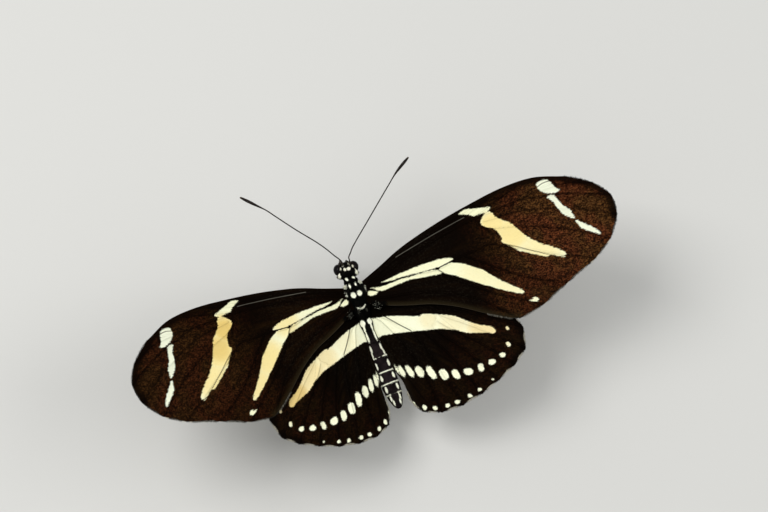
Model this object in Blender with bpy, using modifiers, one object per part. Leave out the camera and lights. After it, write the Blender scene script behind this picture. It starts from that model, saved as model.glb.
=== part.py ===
"""Zebra longwing butterfly, life size, standing on four legs with its wings spread.

Lengths are in millimetres until a mesh is made, which brings them to metres.
The animal faces -Y, its left side is +X and the floor is z = 0.

Body frame: x to the animal's left, y towards the tail, z up, about the middle of the thorax.
A station is a distance towards the head from there.
Flat wing: span outwards and chord forwards from the wing's hinge, before the wing is bent into place.
"""
import math

import bmesh
import bpy
import numpy as np
from mathutils import Matrix, Vector
from mathutils.geometry import delaunay_2d_cdt

MM = 0.001
GAP = 0.3
SIDES = {"left": 1, "right": -1}

# Place of the thorax over the floor, and how far the head end is tipped up
THORAX_CENTRE = Vector((0.0, -0.05, 8.3))
BODY_PITCH = math.radians(12.0)
BODY = Matrix.Translation(THORAX_CENTRE) @ Matrix.Rotation(-BODY_PITCH, 4, "X")

# Thorax and prothorax: station and radius down each turned outline, head end first
THORAX_OUTLINE = [(3.45, 1.25), (2.9, 1.5), (1.8, 1.72), (0.5, 1.8), (-0.8, 1.7), (-1.8, 1.4), (-2.5, 1.05)]
PROTHORAX_OUTLINE = [(4.75, 1.0), (4.5, 1.2), (4.1, 1.3), (3.75, 1.22)]
TURN_STEPS = 24
OUTLINE_STEP = 0.45

# Abdomen: distance behind its own front face and radius, then the joints between its rings.
# It is raised, and swung a little to the animal's right.
ABDOMEN_START = -2.8
ABDOMEN_LIFT = math.radians(6.5)
ABDOMEN_SWING = math.radians(0.9)
ABDOMEN_OUTLINE = [
    (0.0, 0.95), (0.5, 1.14), (1.2, 1.1), (2.0, 1.02), (3.0, 1.04), (4.0, 1.14), (6.6, 1.43),
    (9.15, 1.6), (11.2, 1.6), (13.05, 1.42), (14.4, 1.06), (15.1, 0.74), (15.5, 0.42), (15.65, 0.0),
]
RING_JOINTS = [1.9, 4.0, 6.6, 9.15, 11.2, 13.05]
RING_GROOVE = 0.1
RING_GROOVE_HALF = 0.35

# Head: centre, half sizes, and the flat faces towards the eyes and the neck. It is turned a
# little to the animal's right.
HEAD_CENTRE = Vector((0.0, -6.15, -0.1))
HEAD_HALF = Vector((1.5, 1.45, 1.25))
HEAD_TURN = (
    Matrix.Translation(HEAD_CENTRE) @ Matrix.Rotation(math.radians(-5.5), 4, "Z") @ Matrix.Translation(-HEAD_CENTRE)
)
HEAD_SIDE = 0.95
HEAD_REAR_STATION = PROTHORAX_OUTLINE[0][0] + GAP
EYE_CENTRE = Vector((HEAD_SIDE + GAP, -6.36, -0.15))
EYE_HALF = Vector((0.86, 1.1, 1.12))

# Feelers: root on the head's upper side, bends and tip in the body frame, and the club over the
# last share. The two are held differently.
ANTENNA_ROOT = (0.62, 7.15)
ANTENNA_BENDS = {
    "left": [(1.44, -9.11, 1.5), (3.64, -12.2, 2.2), (6.21, -15.16, 2.85), (9.91, -19.82, 3.5), (13.3, -23.3, 3.6)],
    "right": [(-2.03, -9.47, 1.6), (-5.6, -12.6, 2.55), (-9.24, -15.72, 3.2), (-12.28, -18.27, 3.5), (-15.5, -20.3, 3.6)],
}
ANTENNA_RADIUS = 0.25
CLUB_RADIUS = 0.36
CLUB_SHARE = 0.2
ANTENNA_STEP = 1.5

# Palps on the head's lower side: root, then two bends and the tip, each out, station and height
PALP_ROOT = (0.64, 6.8)
PALP_BENDS = [(0.74, 7.25, -1.36), (0.7, 7.6, -1.15), (0.64, 7.78, -0.82)]
PALP_RADII = [0.3, 0.34, 0.3, 0.16]

# Coiled tongue under the face, in the middle plane
TONGUE_ROOT = (6.6, -1.6)
TONGUE_CENTRE = (6.95, -3.05)
TONGUE_RADIUS = 0.22
TONGUE_OUTER = 1.05
TONGUE_PITCH = 0.6
TONGUE_TURNS = 1.35
TONGUE_START = math.radians(100.0)
TONGUE_TURN_POINTS = 18

# Walking legs: root station and angle from straight down, then knee, ankle, sole and toe, each
# out from the middle line, back from the thorax and above the floor
SOLE_HEIGHT = 0.2
WALKING_LEGS = {
    "midleg": dict(
        station=0.9, angle=math.radians(38.0),
        joints=[(4.3, -1.7, 6.1), (6.4, -2.8, 1.5), (7.5, -3.4, SOLE_HEIGHT), (9.6, -4.4, SOLE_HEIGHT)],
    ),
    "hindleg": dict(
        station=-1.1, angle=math.radians(38.0),
        joints=[(4.1, 4.7, 6.0), (6.0, 8.5, 1.5), (6.8, 9.9, SOLE_HEIGHT), (8.2, 12.3, SOLE_HEIGHT)],
    ),
}
COXA_LENGTH = 0.7
LEG_RADII = [0.5, 0.48, 0.38, 0.3, 0.26, 0.25]

# Small forelegs, folded under the chest: bends and tip, each out, station and height
FORELEG_STATION = 2.5
FORELEG_ANGLE = math.radians(32.0)
FORELEG_BENDS = [(0.8, 3.4, -2.4), (0.55, 4.4, -2.45), (0.46, 5.3, -2.12)]
FORELEG_RADII = [0.4, 0.36, 0.3, 0.27, 0.2]
BEND_ROUNDING = 0.5

# Wings: hinge (out, station, height), rise from level at the hinge and its change over the
# span, how far the rear edge stands over the front edge, and the sweep of each side
FOREWING = dict(
    hinge=(1.6, 1.5, 1.0),
    rise=math.radians(21.7),
    rise_change=math.radians(0.119),
    incidence=math.radians(13.6),
    sweep={"left": math.radians(-1.7), "right": math.radians(1.7)},
    tuck=0.0,
    slide={"left": 0.0, "right": 0.0},
    base=[1.9, 0.95, 0.0, -0.95, -1.9],
    front=[(4.0, 3.4), (7.0, 4.55), (10.0, 5.45), (16.0, 6.75), (22.0, 7.65), (28.0, 8.25), (33.5, 7.95)],
    vein_ends=[
        (38.4, 6.25), (42.2, 3.6), (44.15, 0.6), (43.7, -2.8), (41.1, -6.1), (37.5, -8.3),
        (31.5, -10.5), (26.5, -12.4), (21.8, -13.15),
    ],
    rear=[(19.7, -12.2), (17.2, -10.6), (13.1, -7.7), (9.3, -5.75), (5.6, -4.5), (2.6, -3.35)],
    scallop=0.16,
)
HINDWING = dict(
    hinge=(1.4, -2.0, 0.25),
    rise=math.radians(25.9),
    rise_change=math.radians(-0.115),
    incidence=math.radians(12.4),
    sweep={"left": 0.0, "right": 0.0},
    tuck=0.35,
    slide={"left": -0.26, "right": 0.06},
    base=[1.3, 0.4, -0.45],
    front=[(4.0, 2.3), (9.0, 1.7), (14.0, -0.5), (18.6, -3.9)],
    vein_ends=[
        (21.7, -7.2), (22.85, -10.4), (21.9, -13.9), (19.3, -15.9), (15.9, -17.45), (12.4, -18.7),
        (8.6, -19.5), (4.9, -19.5), (1.9, -18.4),
    ],
    rear=[(0.8, -16.3), (0.66, -14.0), (0.5, -10.5), (0.4, -6.0), (0.32, -3.0)],
    scallop=0.28,
)
TUCK_WIDTH = 3.0
TUCK_CHORD = 6.0

# Veins of each wing, every one a line from its origin to the margin or to the next vein
FOREWING_VEINS = [
    [(3.0, 2.1), (6.0, 3.2), (12.0, 4.8), (18.0, 6.2), (22.5, 7.1)],
    [(3.0, 1.4), (6.0, 2.4), (12.0, 3.7), (18.0, 4.7), (22.2, 5.1)],
    [(14.5, 4.15), (20.0, 5.9), (25.0, 7.3)],
    [(19.5, 4.9), (25.0, 6.2), (30.0, 7.4)],
    [(22.2, 5.1), (28.0, 5.25), (33.0, 5.5), (36.5, 6.1)],
    [(33.0, 5.5), (38.0, 5.1), (42.2, 3.6)],
    [(29.5, 5.3), (37.0, 3.6), (44.15, 0.6)],
    [(23.1, 4.1), (30.0, 3.3), (37.0, 0.9), (43.7, -2.8)],
    [(23.8, 2.5), (28.0, 1.2), (35.0, -2.0), (41.1, -6.1)],
    [(22.3, 0.2), (28.0, -3.0), (33.5, -6.2), (37.5, -8.3)],
    [(3.0, 0.4), (8.0, 0.1), (12.6, -0.6), (17.5, 0.0), (22.3, 0.2), (23.8, 2.5), (23.1, 4.1), (22.2, 5.1)],
    [(17.5, 0.0), (21.0, -3.2), (26.0, -7.4), (31.5, -10.5)],
    [(12.6, -0.6), (15.4, -3.9), (20.0, -8.0), (26.5, -12.4)],
    [(2.8, -1.75), (7.7, -3.05), (13.5, -5.35), (17.3, -8.1), (19.4, -10.4), (21.8, -13.15)],
]
HINDWING_VEINS = [
    [(2.0, 0.8), (6.0, 0.9), (12.0, -0.9), (18.0, -4.9), (21.7, -7.2)],
    [(2.0, 0.0), (5.0, -0.4), (10.0, -2.3), (16.0, -5.7), (22.85, -10.4)],
    [(10.0, -2.3), (10.4, -3.6), (15.0, -7.4), (21.9, -13.9)],
    [(10.4, -3.6), (9.9, -4.6), (15.0, -10.4), (19.3, -15.9)],
    [(9.9, -4.6), (8.9, -5.6), (12.5, -11.0), (15.9, -17.45)],
    [(1.8, -1.4), (5.2, -4.6), (7.2, -5.9), (8.9, -5.6)],
    [(7.2, -5.9), (10.0, -11.5), (12.4, -18.7)],
    [(5.2, -4.6), (6.9, -10.5), (8.6, -19.5)],
    [(1.3, -2.0), (3.2, -6.5), (4.6, -12.5), (4.9, -19.5)],
]
WING_THICKNESS = 0.5
VEIN_RISE = 0.3
VEIN_HALF_WIDTH = 0.34
VEIN_STOP = 0.9
MARGIN_STEP = 1.25
VEIN_STEP = 2.0
MEMBRANE_STEP = 2.4
MEMBRANE_CLEAR = 0.95
MERGE_DISTANCE = 0.1

BLACK_SCALES = (0.022, 0.018, 0.016)
WING_BROWN = (0.035, 0.026, 0.021)
LEG_BROWN = (0.05, 0.04, 0.032)
EYE_BROWN = (0.05, 0.018, 0.012)
TONGUE_BROWN = (0.03, 0.02, 0.015)


def material(name, colour, roughness):
    """A plain finish with its own colour and roughness."""
    finish = bpy.data.materials.new(name)
    finish.use_nodes = True
    shader = finish.node_tree.nodes["Principled BSDF"]
    shader.inputs["Base Color"].default_value = (*colour, 1.0)
    shader.inputs["Roughness"].default_value = roughness
    shader.inputs["Metallic"].default_value = 0.0
    return finish


def add_object(name, data, colour, roughness, matrix=None):
    """Place a mesh or a curve as the node of that name."""
    node = bpy.data.objects.new(name, data)
    data.materials.append(material(name, colour, roughness))
    butterfly.objects.link(node)
    if matrix is not None:
        node.matrix_world = matrix
    return node


def in_metres(matrix):
    """The same placing, for a mesh whose own lengths are already in metres."""
    moved = matrix.copy()
    moved.translation = matrix.translation * MM
    return moved


def mesh_from(bm, name):
    """Turn a bmesh in millimetres into a mesh in metres."""
    bmesh.ops.scale(bm, vec=(MM, MM, MM), verts=bm.verts)
    bmesh.ops.recalc_face_normals(bm, faces=bm.faces)
    mesh = bpy.data.meshes.new(name)
    bm.to_mesh(mesh)
    bm.free()
    mesh.shade_smooth()
    return mesh


def smooth_line(points, step, closed=False):
    """Points about a step apart on a smooth curve through the given ones."""
    given = [np.array(p, float) for p in points]
    count = len(given)
    line = []
    for i in range(count if closed else count - 1):
        before = given[i - 1] if closed or i > 0 else given[0]
        start = given[i]
        end = given[(i + 1) % count]
        after = given[(i + 2) % count] if closed or i + 2 < count else end
        reach = np.linalg.norm(end - start)
        slope_in = (end - before) * reach / (np.linalg.norm(end - start) + np.linalg.norm(start - before))
        slope_out = (after - start) * reach / (np.linalg.norm(after - end) + np.linalg.norm(end - start))
        pieces = max(1, round(reach / step))
        for k in range(pieces):
            t = k / pieces
            line.append(
                start * (2 * t**3 - 3 * t**2 + 1) + end * (3 * t**2 - 2 * t**3)
                + slope_in * (t**3 - 2 * t**2 + t) + slope_out * (t**3 - t**2)
            )
    if not closed:
        line.append(given[-1])
    return line


def body_point(out, station, height):
    """A point of the body frame, given its distance out, its station and its height."""
    return Vector((out, -station, height))


def outline_radius(outline, station):
    """Radius of a turned form at one station."""
    stations = [point[0] for point in reversed(outline)]
    radii = [point[1] for point in reversed(outline)]
    return float(np.interp(station, stations, radii))


def turned(name, outline, matrix, colour, roughness):
    """A form turned about the body's long axis, with flat ends where the outline ends wide."""
    profile = smooth_line(outline, OUTLINE_STEP)
    top = [np.array((profile[0][0], 0.0))]
    bottom = [np.array((profile[-1][0], 0.0))] if profile[-1][1] > 0.0 else []
    points = [(radius * MM, 0.0, along * MM) for along, radius in top + profile + bottom]
    edges = [(i, i + 1) for i in range(len(points) - 1)]
    mesh = bpy.data.meshes.new(name)
    mesh.from_pydata(points, edges, [])
    node = add_object(name, mesh, colour, roughness, in_metres(matrix))
    screw = node.modifiers.new("turn", "SCREW")
    screw.steps = TURN_STEPS
    screw.render_steps = TURN_STEPS
    screw.use_merge_vertices = True
    screw.merge_threshold = 1e-5
    screw.use_smooth_shade = True
    return node


def make_trunk():
    """Prothorax, thorax and ringed abdomen, each turned about its axis."""
    towards_head = Matrix.Rotation(math.radians(90.0), 4, "X")
    turned("thorax", THORAX_OUTLINE, BODY @ towards_head, BLACK_SCALES, 0.8)
    turned("prothorax", PROTHORAX_OUTLINE, BODY @ towards_head, BLACK_SCALES, 0.8)
    hinge = Matrix.Translation(body_point(0.0, ABDOMEN_START, 0.0))
    raised = hinge @ Matrix.Rotation(ABDOMEN_SWING, 4, "Z") @ Matrix.Rotation(ABDOMEN_LIFT, 4, "X")
    rings = []
    for behind, radius in smooth_line(ABDOMEN_OUTLINE, OUTLINE_STEP * 0.75):
        nearest = min(abs(behind - joint) for joint in RING_JOINTS)
        groove = RING_GROOVE * max(0.0, 1.0 - nearest / RING_GROOVE_HALF)
        rings.append((-behind, max(0.0, radius - groove)))
    turned("abdomen", rings, BODY @ raised @ towards_head, BLACK_SCALES, 0.75)


def cut_flat(bm, point, outward):
    """Cut off what lies beyond a plane and close the cut with a flat face."""
    everything = bm.verts[:] + bm.edges[:] + bm.faces[:]
    bmesh.ops.bisect_plane(bm, geom=everything, plane_co=point, plane_no=outward, clear_outer=True)
    rim = [edge for edge in bm.edges if edge.is_boundary]
    bmesh.ops.holes_fill(bm, edges=rim, sides=0)


def ball(centre, half, columns, rows):
    """An ellipsoid with its poles up and down."""
    bm = bmesh.new()
    bmesh.ops.create_uvsphere(bm, u_segments=columns, v_segments=rows, radius=1.0)
    bmesh.ops.scale(bm, vec=half, verts=bm.verts)
    bmesh.ops.translate(bm, vec=centre, verts=bm.verts)
    return bm


def make_head():
    """Head with flat faces to the neck and the eyes, and the two eyes standing on its sides."""
    bm = ball(HEAD_CENTRE, HEAD_HALF, 24, 14)
    cut_flat(bm, body_point(0.0, HEAD_REAR_STATION, 0.0), (0.0, 1.0, 0.0))
    for side in SIDES.values():
        cut_flat(bm, (side * HEAD_SIDE, 0.0, 0.0), (side, 0.0, 0.0))
    add_object("head", mesh_from(bm, "head"), BLACK_SCALES, 0.8, in_metres(BODY @ HEAD_TURN))
    for side_name, side in SIDES.items():
        centre = Vector((side * EYE_CENTRE.x, EYE_CENTRE.y, EYE_CENTRE.z))
        bm = ball(centre, EYE_HALF, 20, 12)
        cut_flat(bm, centre, (-side, 0.0, 0.0))
        name = f"eye_{side_name}"
        add_object(name, mesh_from(bm, name), EYE_BROWN, 0.25, in_metres(BODY @ HEAD_TURN))


def off_head(out, station, upper):
    """Point a gap off the head's surface, and the direction straight away from the surface there."""
    across = out / HEAD_HALF.x
    along = (-station - HEAD_CENTRE.y) / HEAD_HALF.y
    height = math.sqrt(1.0 - across**2 - along**2) * (1 if upper else -1)
    away = Vector((across / HEAD_HALF.x, along / HEAD_HALF.y, height / HEAD_HALF.z)).normalized()
    surface = Vector((out, -station, HEAD_CENTRE.z + height * HEAD_HALF.z))
    return HEAD_TURN @ (surface + away * GAP), HEAD_TURN.to_3x3() @ away


def off_thorax(side, station, angle):
    """Point a gap off the thorax's underside, and the direction straight away from the surface."""
    radius = outline_radius(THORAX_OUTLINE, station) + GAP
    away = Vector((side * math.sin(angle), 0.0, -math.cos(angle)))
    return body_point(0.0, station, 0.0) + away * radius, away


def tube(name, points, radii, colour, roughness, matrix=None):
    """A round rod through the points, each with its own radius, closed at both ends."""
    curve = bpy.data.curves.new(name, "CURVE")
    curve.dimensions = "3D"
    curve.bevel_depth = MM
    curve.bevel_resolution = 2
    curve.use_fill_caps = True
    spline = curve.splines.new("POLY")
    spline.points.add(len(points) - 1)
    for knot, point, radius in zip(spline.points, points, radii):
        knot.co = (*(Vector(point) * MM), 1.0)
        knot.radius = radius
    return add_object(name, curve, colour, roughness, matrix)


def made_mesh(node):
    """Replace a curve node by its mesh, with its caps welded on."""
    bpy.context.view_layer.update()
    shape = node.evaluated_get(bpy.context.evaluated_depsgraph_get())
    mesh = bpy.data.meshes.new_from_object(shape)
    bm = bmesh.new()
    bm.from_mesh(mesh)
    bmesh.ops.remove_doubles(bm, verts=bm.verts, dist=1e-6)
    bm.to_mesh(mesh)
    bm.free()
    name = node.name
    solid = bpy.data.objects.new(name, mesh)
    solid.matrix_world = node.matrix_world
    bpy.data.objects.remove(node)
    solid.name = name
    butterfly.objects.link(solid)
    return solid


def make_antennae():
    """Feelers: thin shafts from the crown, bowed a little, each with a slim club at its end."""
    for side_name, side in SIDES.items():
        start, away = off_head(side * ANTENNA_ROOT[0], ANTENNA_ROOT[1], upper=True)
        points = [start]
        radii = [ANTENNA_RADIUS]
        stem = start + away * 0.5
        bow = smooth_line([stem] + ANTENNA_BENDS[side_name], ANTENNA_STEP)
        for i, point in enumerate(bow):
            points.append(Vector(point))
            share = i / (len(bow) - 1)
            swell = max(0.0, (share - 1.0 + CLUB_SHARE) / CLUB_SHARE)
            club = math.sin(math.pi * min(swell, 0.92) ** 0.8)
            radii.append(ANTENNA_RADIUS + (CLUB_RADIUS - ANTENNA_RADIUS) * club)
        radii[-1] = ANTENNA_RADIUS * 0.7
        tube(f"antenna_{side_name}", points, radii, BLACK_SCALES, 0.6, in_metres(BODY))


def make_mouthparts():
    """Palps curving up in front of the face, and the tongue coiled between and below them."""
    for side_name, side in SIDES.items():
        start, _ = off_head(side * PALP_ROOT[0], PALP_ROOT[1], upper=False)
        points = [start] + [body_point(side * out, station, height) for out, station, height in PALP_BENDS]
        tube(f"palp_{side_name}", points, PALP_RADII, BLACK_SCALES, 0.8, in_metres(BODY))
    points = [body_point(0.0, *TONGUE_ROOT)]
    for i in range(round(TONGUE_TURNS * TONGUE_TURN_POINTS) + 1):
        turn = i / TONGUE_TURN_POINTS
        angle = TONGUE_START - turn * 2.0 * math.pi
        radius = TONGUE_OUTER - TONGUE_PITCH * turn
        station = TONGUE_CENTRE[0] + radius * math.cos(angle)
        height = TONGUE_CENTRE[1] + radius * math.sin(angle)
        points.append(body_point(0.0, station, height))
    radii = [TONGUE_RADIUS] * len(points)
    tube("proboscis", points, radii, TONGUE_BROWN, 0.4, in_metres(BODY))


def make_walking_leg(name, side, station, angle, joints):
    """A leg from the thorax's underside down to a sole cut flat at the floor."""
    start, away = off_thorax(side, station, angle)
    coxa = start + away * COXA_LENGTH
    points = [BODY @ start, BODY @ coxa]
    for out, back, height in joints:
        points.append(Vector((side * out + THORAX_CENTRE.x, back + THORAX_CENTRE.y, height)))
    leg = made_mesh(tube(name, points, LEG_RADII, LEG_BROWN, 0.6))
    bm = bmesh.new()
    bm.from_mesh(leg.data)
    cut_flat(bm, (0.0, 0.0, 0.0), (0.0, 0.0, -1.0))
    bmesh.ops.recalc_face_normals(bm, faces=bm.faces)
    bm.to_mesh(leg.data)
    bm.free()


def make_legs():
    """Two pairs of walking legs, and the small forelegs folded under the chest."""
    for side_name, side in SIDES.items():
        for pair, leg in WALKING_LEGS.items():
            make_walking_leg(f"{pair}_{side_name}", side, leg["station"], leg["angle"], leg["joints"])
        start, away = off_thorax(side, FORELEG_STATION, FORELEG_ANGLE)
        points = [start, start + away * BEND_ROUNDING]
        points += [body_point(side * out, station, height) for out, station, height in FORELEG_BENDS]
        tube(f"foreleg_{side_name}", points, FORELEG_RADII, LEG_BROWN, 0.6, in_metres(BODY))


def wing_base_span(wing, chord):
    """Span at which the wing's edge stands a gap off the thorax."""
    out, station, height = wing["hinge"]
    station += chord * math.cos(wing["incidence"])
    height -= chord * math.sin(wing["incidence"])
    nearest_height = max(0.0, abs(height) - WING_THICKNESS / 2.0)
    thorax = outline_radius(THORAX_OUTLINE, station)
    reach = math.sqrt(thorax**2 - nearest_height**2) + GAP
    return (reach - out) / math.cos(wing["rise"])


def wing_outline(wing):
    """Flat outline: along the front edge, round the scalloped margin and back to the hinge."""
    base = [(wing_base_span(wing, chord), chord) for chord in wing["base"]]
    front = smooth_line([base[0]] + wing["front"] + wing["vein_ends"][:1], MARGIN_STEP)[:-1]
    rear = smooth_line(wing["vein_ends"][-1:] + wing["rear"] + base[-1:], MARGIN_STEP)
    ends = wing["front"][-1:] + wing["vein_ends"] + wing["rear"][:1]
    curve = smooth_line(ends, 0.1)
    margin = []
    for start, end in zip(wing["vein_ends"], wing["vein_ends"][1:]):
        first = min(range(len(curve)), key=lambda i: np.linalg.norm(curve[i] - start))
        last = min(range(len(curve)), key=lambda i: np.linalg.norm(curve[i] - end))
        pieces = max(3, round((last - first) * 0.1 / MARGIN_STEP))
        for k in range(pieces):
            place = first + (last - first) * k // pieces
            along = curve[min(place + 1, len(curve) - 1)] - curve[place]
            inward = np.array((along[1], -along[0])) / np.linalg.norm(along)
            margin.append(curve[place] + inward * wing["scallop"] * math.sin(math.pi * k / pieces))
    base_edge = [np.array(point) for point in reversed(base[1:-1])]
    return front + margin + rear + base_edge


def wing_point(wing, side_name, span, chord):
    """Bend a point of the flat wing into its place on the body."""
    sweep = wing["sweep"][side_name]
    outwards = span * math.cos(sweep) - chord * math.sin(sweep)
    forwards = span * math.sin(sweep) + chord * math.cos(sweep)
    change = wing["rise_change"]
    rise = wing["rise"] + change * outwards
    out, station, height = wing["hinge"]
    out += (math.sin(rise) - math.sin(wing["rise"])) / change
    height += (math.cos(wing["rise"]) - math.cos(rise)) / change
    station += forwards * math.cos(wing["incidence"])
    height -= forwards * math.sin(wing["incidence"])
    near_body = max(0.0, 1.0 - outwards / TUCK_WIDTH) ** 2
    behind = min(1.0, max(0.0, -forwards / TUCK_CHORD))
    height -= wing["tuck"] * near_body * behind
    out += wing["slide"][side_name] * behind * max(0.0, 1.0 - outwards / 14.0)
    return body_point(SIDES[side_name] * out, station, height)


def inside(point, outline):
    """Whether a point of the flat wing lies within the outline."""
    crossings = 0
    for a, b in zip(outline, outline[1:] + outline[:1]):
        if (a[1] > point[1]) != (b[1] > point[1]):
            at = a[0] + (point[1] - a[1]) * (b[0] - a[0]) / (b[1] - a[1])
            crossings += at > point[0]
    return crossings % 2 == 1


def flat_wing(wing, veins):
    """Triangles of the flat wing, with edges along each vein, and how raised each corner is."""
    outline = wing_outline(wing)
    corners = list(outline)
    edges = []
    ridges = []
    for vein in veins:
        line = smooth_line(vein, VEIN_STEP)
        line = [p for p in line if min(np.linalg.norm(p - q) for q in outline) > VEIN_STOP]
        ridges.append(line)
        along = np.gradient(np.array(line), axis=0)
        sideways = np.stack([-along[:, 1], along[:, 0]], 1) / np.linalg.norm(along, axis=1)[:, None]
        for shift, kept in ((0.0, slice(None)), (VEIN_HALF_WIDTH, slice(1, -1)), (-VEIN_HALF_WIDTH, slice(1, -1))):
            row = [p + s * shift for p, s in zip(line, sideways)][kept]
            edges += [(len(corners) + i, len(corners) + i + 1) for i in range(len(row) - 1)]
            corners += row
    placed = np.array(corners)
    low, high = placed.min(axis=0), placed.max(axis=0)
    rows = int((high[1] - low[1]) / MEMBRANE_STEP) + 1
    columns = int((high[0] - low[0]) / MEMBRANE_STEP) + 1
    for row in range(rows):
        for column in range(columns):
            point = low + MEMBRANE_STEP * np.array((column + 0.5 * (row % 2), row))
            clear = np.linalg.norm(placed - point, axis=1).min() > MEMBRANE_CLEAR
            if clear and inside(point, outline):
                corners.append(point)
    flat = [Vector(point) for point in corners]
    faces = [list(range(len(outline)))]
    points, _, triangles, _, _, _ = delaunay_2d_cdt(flat, edges, faces, 1, MERGE_DISTANCE)
    raised = []
    for point in points:
        nearest = min(distance_to_line(np.array(point), ridge) for ridge in ridges)
        raised.append(max(0.0, 1.0 - nearest / VEIN_HALF_WIDTH))
    return points, triangles, raised


def distance_to_line(point, line):
    """Least distance from a point to a line of short straight pieces."""
    starts = np.array(line[:-1])
    runs = np.array(line[1:]) - starts
    share = np.clip(((point - starts) * runs).sum(axis=1) / (runs**2).sum(axis=1), 0.0, 1.0)
    return np.linalg.norm(starts + runs * share[:, None] - point, axis=1).min()


def make_wings():
    """Four wings: bent sheets of even thickness, with their veins raised on both faces."""
    for kind, wing, veins in (("forewing", FOREWING, FOREWING_VEINS), ("hindwing", HINDWING, HINDWING_VEINS)):
        points, triangles, raised = flat_wing(wing, veins)
        for side_name in SIDES:
            name = f"{kind}_{side_name}"
            bent = [wing_point(wing, side_name, point.x, point.y) * MM for point in points]
            mesh = bpy.data.meshes.new(name)
            mesh.from_pydata(bent, [], triangles)
            node = add_object(name, mesh, WING_BROWN, 0.7, in_metres(BODY))
            ridge = node.vertex_groups.new(name="ridge")
            for i, weight in enumerate(raised):
                ridge.add([i], weight, "REPLACE")
            solidify = node.modifiers.new("membrane", "SOLIDIFY")
            solidify.thickness = (WING_THICKNESS + VEIN_RISE) * MM
            solidify.offset = 0.0
            solidify.vertex_group = ridge.name
            solidify.thickness_vertex_group = WING_THICKNESS / (WING_THICKNESS + VEIN_RISE)


for leftover in list(bpy.data.objects):
    bpy.data.objects.remove(leftover)
butterfly = bpy.data.collections.new("zebra_longwing")
bpy.context.scene.collection.children.link(butterfly)

make_trunk()
make_head()
make_antennae()
make_mouthparts()
make_legs()
make_wings()
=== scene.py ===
import math
import random

import bmesh
import bpy
import numpy as np
from mathutils import Matrix, Vector


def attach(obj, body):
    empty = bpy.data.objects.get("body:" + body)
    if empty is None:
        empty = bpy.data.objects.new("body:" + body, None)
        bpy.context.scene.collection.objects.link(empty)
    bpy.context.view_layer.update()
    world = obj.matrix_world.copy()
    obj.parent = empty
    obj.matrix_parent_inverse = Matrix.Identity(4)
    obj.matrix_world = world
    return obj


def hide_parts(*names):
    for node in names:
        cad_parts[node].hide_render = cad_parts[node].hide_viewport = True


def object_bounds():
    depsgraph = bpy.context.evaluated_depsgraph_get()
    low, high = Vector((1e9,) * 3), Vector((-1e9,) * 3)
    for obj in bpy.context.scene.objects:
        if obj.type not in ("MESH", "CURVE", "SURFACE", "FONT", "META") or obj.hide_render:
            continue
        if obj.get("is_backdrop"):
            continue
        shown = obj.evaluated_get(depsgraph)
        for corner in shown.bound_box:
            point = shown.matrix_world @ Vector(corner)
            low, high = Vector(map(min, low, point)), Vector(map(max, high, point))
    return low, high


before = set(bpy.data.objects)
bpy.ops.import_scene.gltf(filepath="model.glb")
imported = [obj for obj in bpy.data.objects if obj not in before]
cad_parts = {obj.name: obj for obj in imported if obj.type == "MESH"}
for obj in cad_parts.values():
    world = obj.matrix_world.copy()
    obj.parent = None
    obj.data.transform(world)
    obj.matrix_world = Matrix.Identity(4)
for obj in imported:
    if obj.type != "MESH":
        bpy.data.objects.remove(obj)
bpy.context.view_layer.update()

# Trunk: head, neck, thorax and abdomen are one shell of black cuticle under flat scales. It is
# turned about the long axis, pinched at the neck, the waist and the ring joints. The head is
# turned a little, the abdomen tipped up, and cream scales make the dots, dashes and bars.
MM = 0.001
SIDES = {"left": 1, "right": -1}
THORAX_CENTRE = Vector((0.0, -0.05, 8.3))
BODY = Matrix.Translation(THORAX_CENTRE) @ Matrix.Rotation(math.radians(-12.0), 4, "X")
WAIST = -2.8
ABDOMEN_LIFT = math.radians(6.5)
ABDOMEN_SWING = math.radians(0.9)
HEAD_PIVOT = Vector((0.0, -6.15, -0.1))
HEAD_TURN = math.radians(-5.5)
RING_JOINTS = [-4.7, -6.8, -9.4, -11.95, -14.0, -15.85]
RING_RIM = (0.035, 0.6)  # rise before a ring joint, and its reach
RING_GROOVE = (0.06, 0.4)  # depth behind a ring joint, and its reach
BAR_GAPS = (0.11, 0.0, 0.0, 0.1)  # breaks at the middle of the cream bars on the last four ring joints
CHEST_SPOTS = (2.6, 0.9, -0.7)  # stations of the cream spots above the legs

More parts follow.
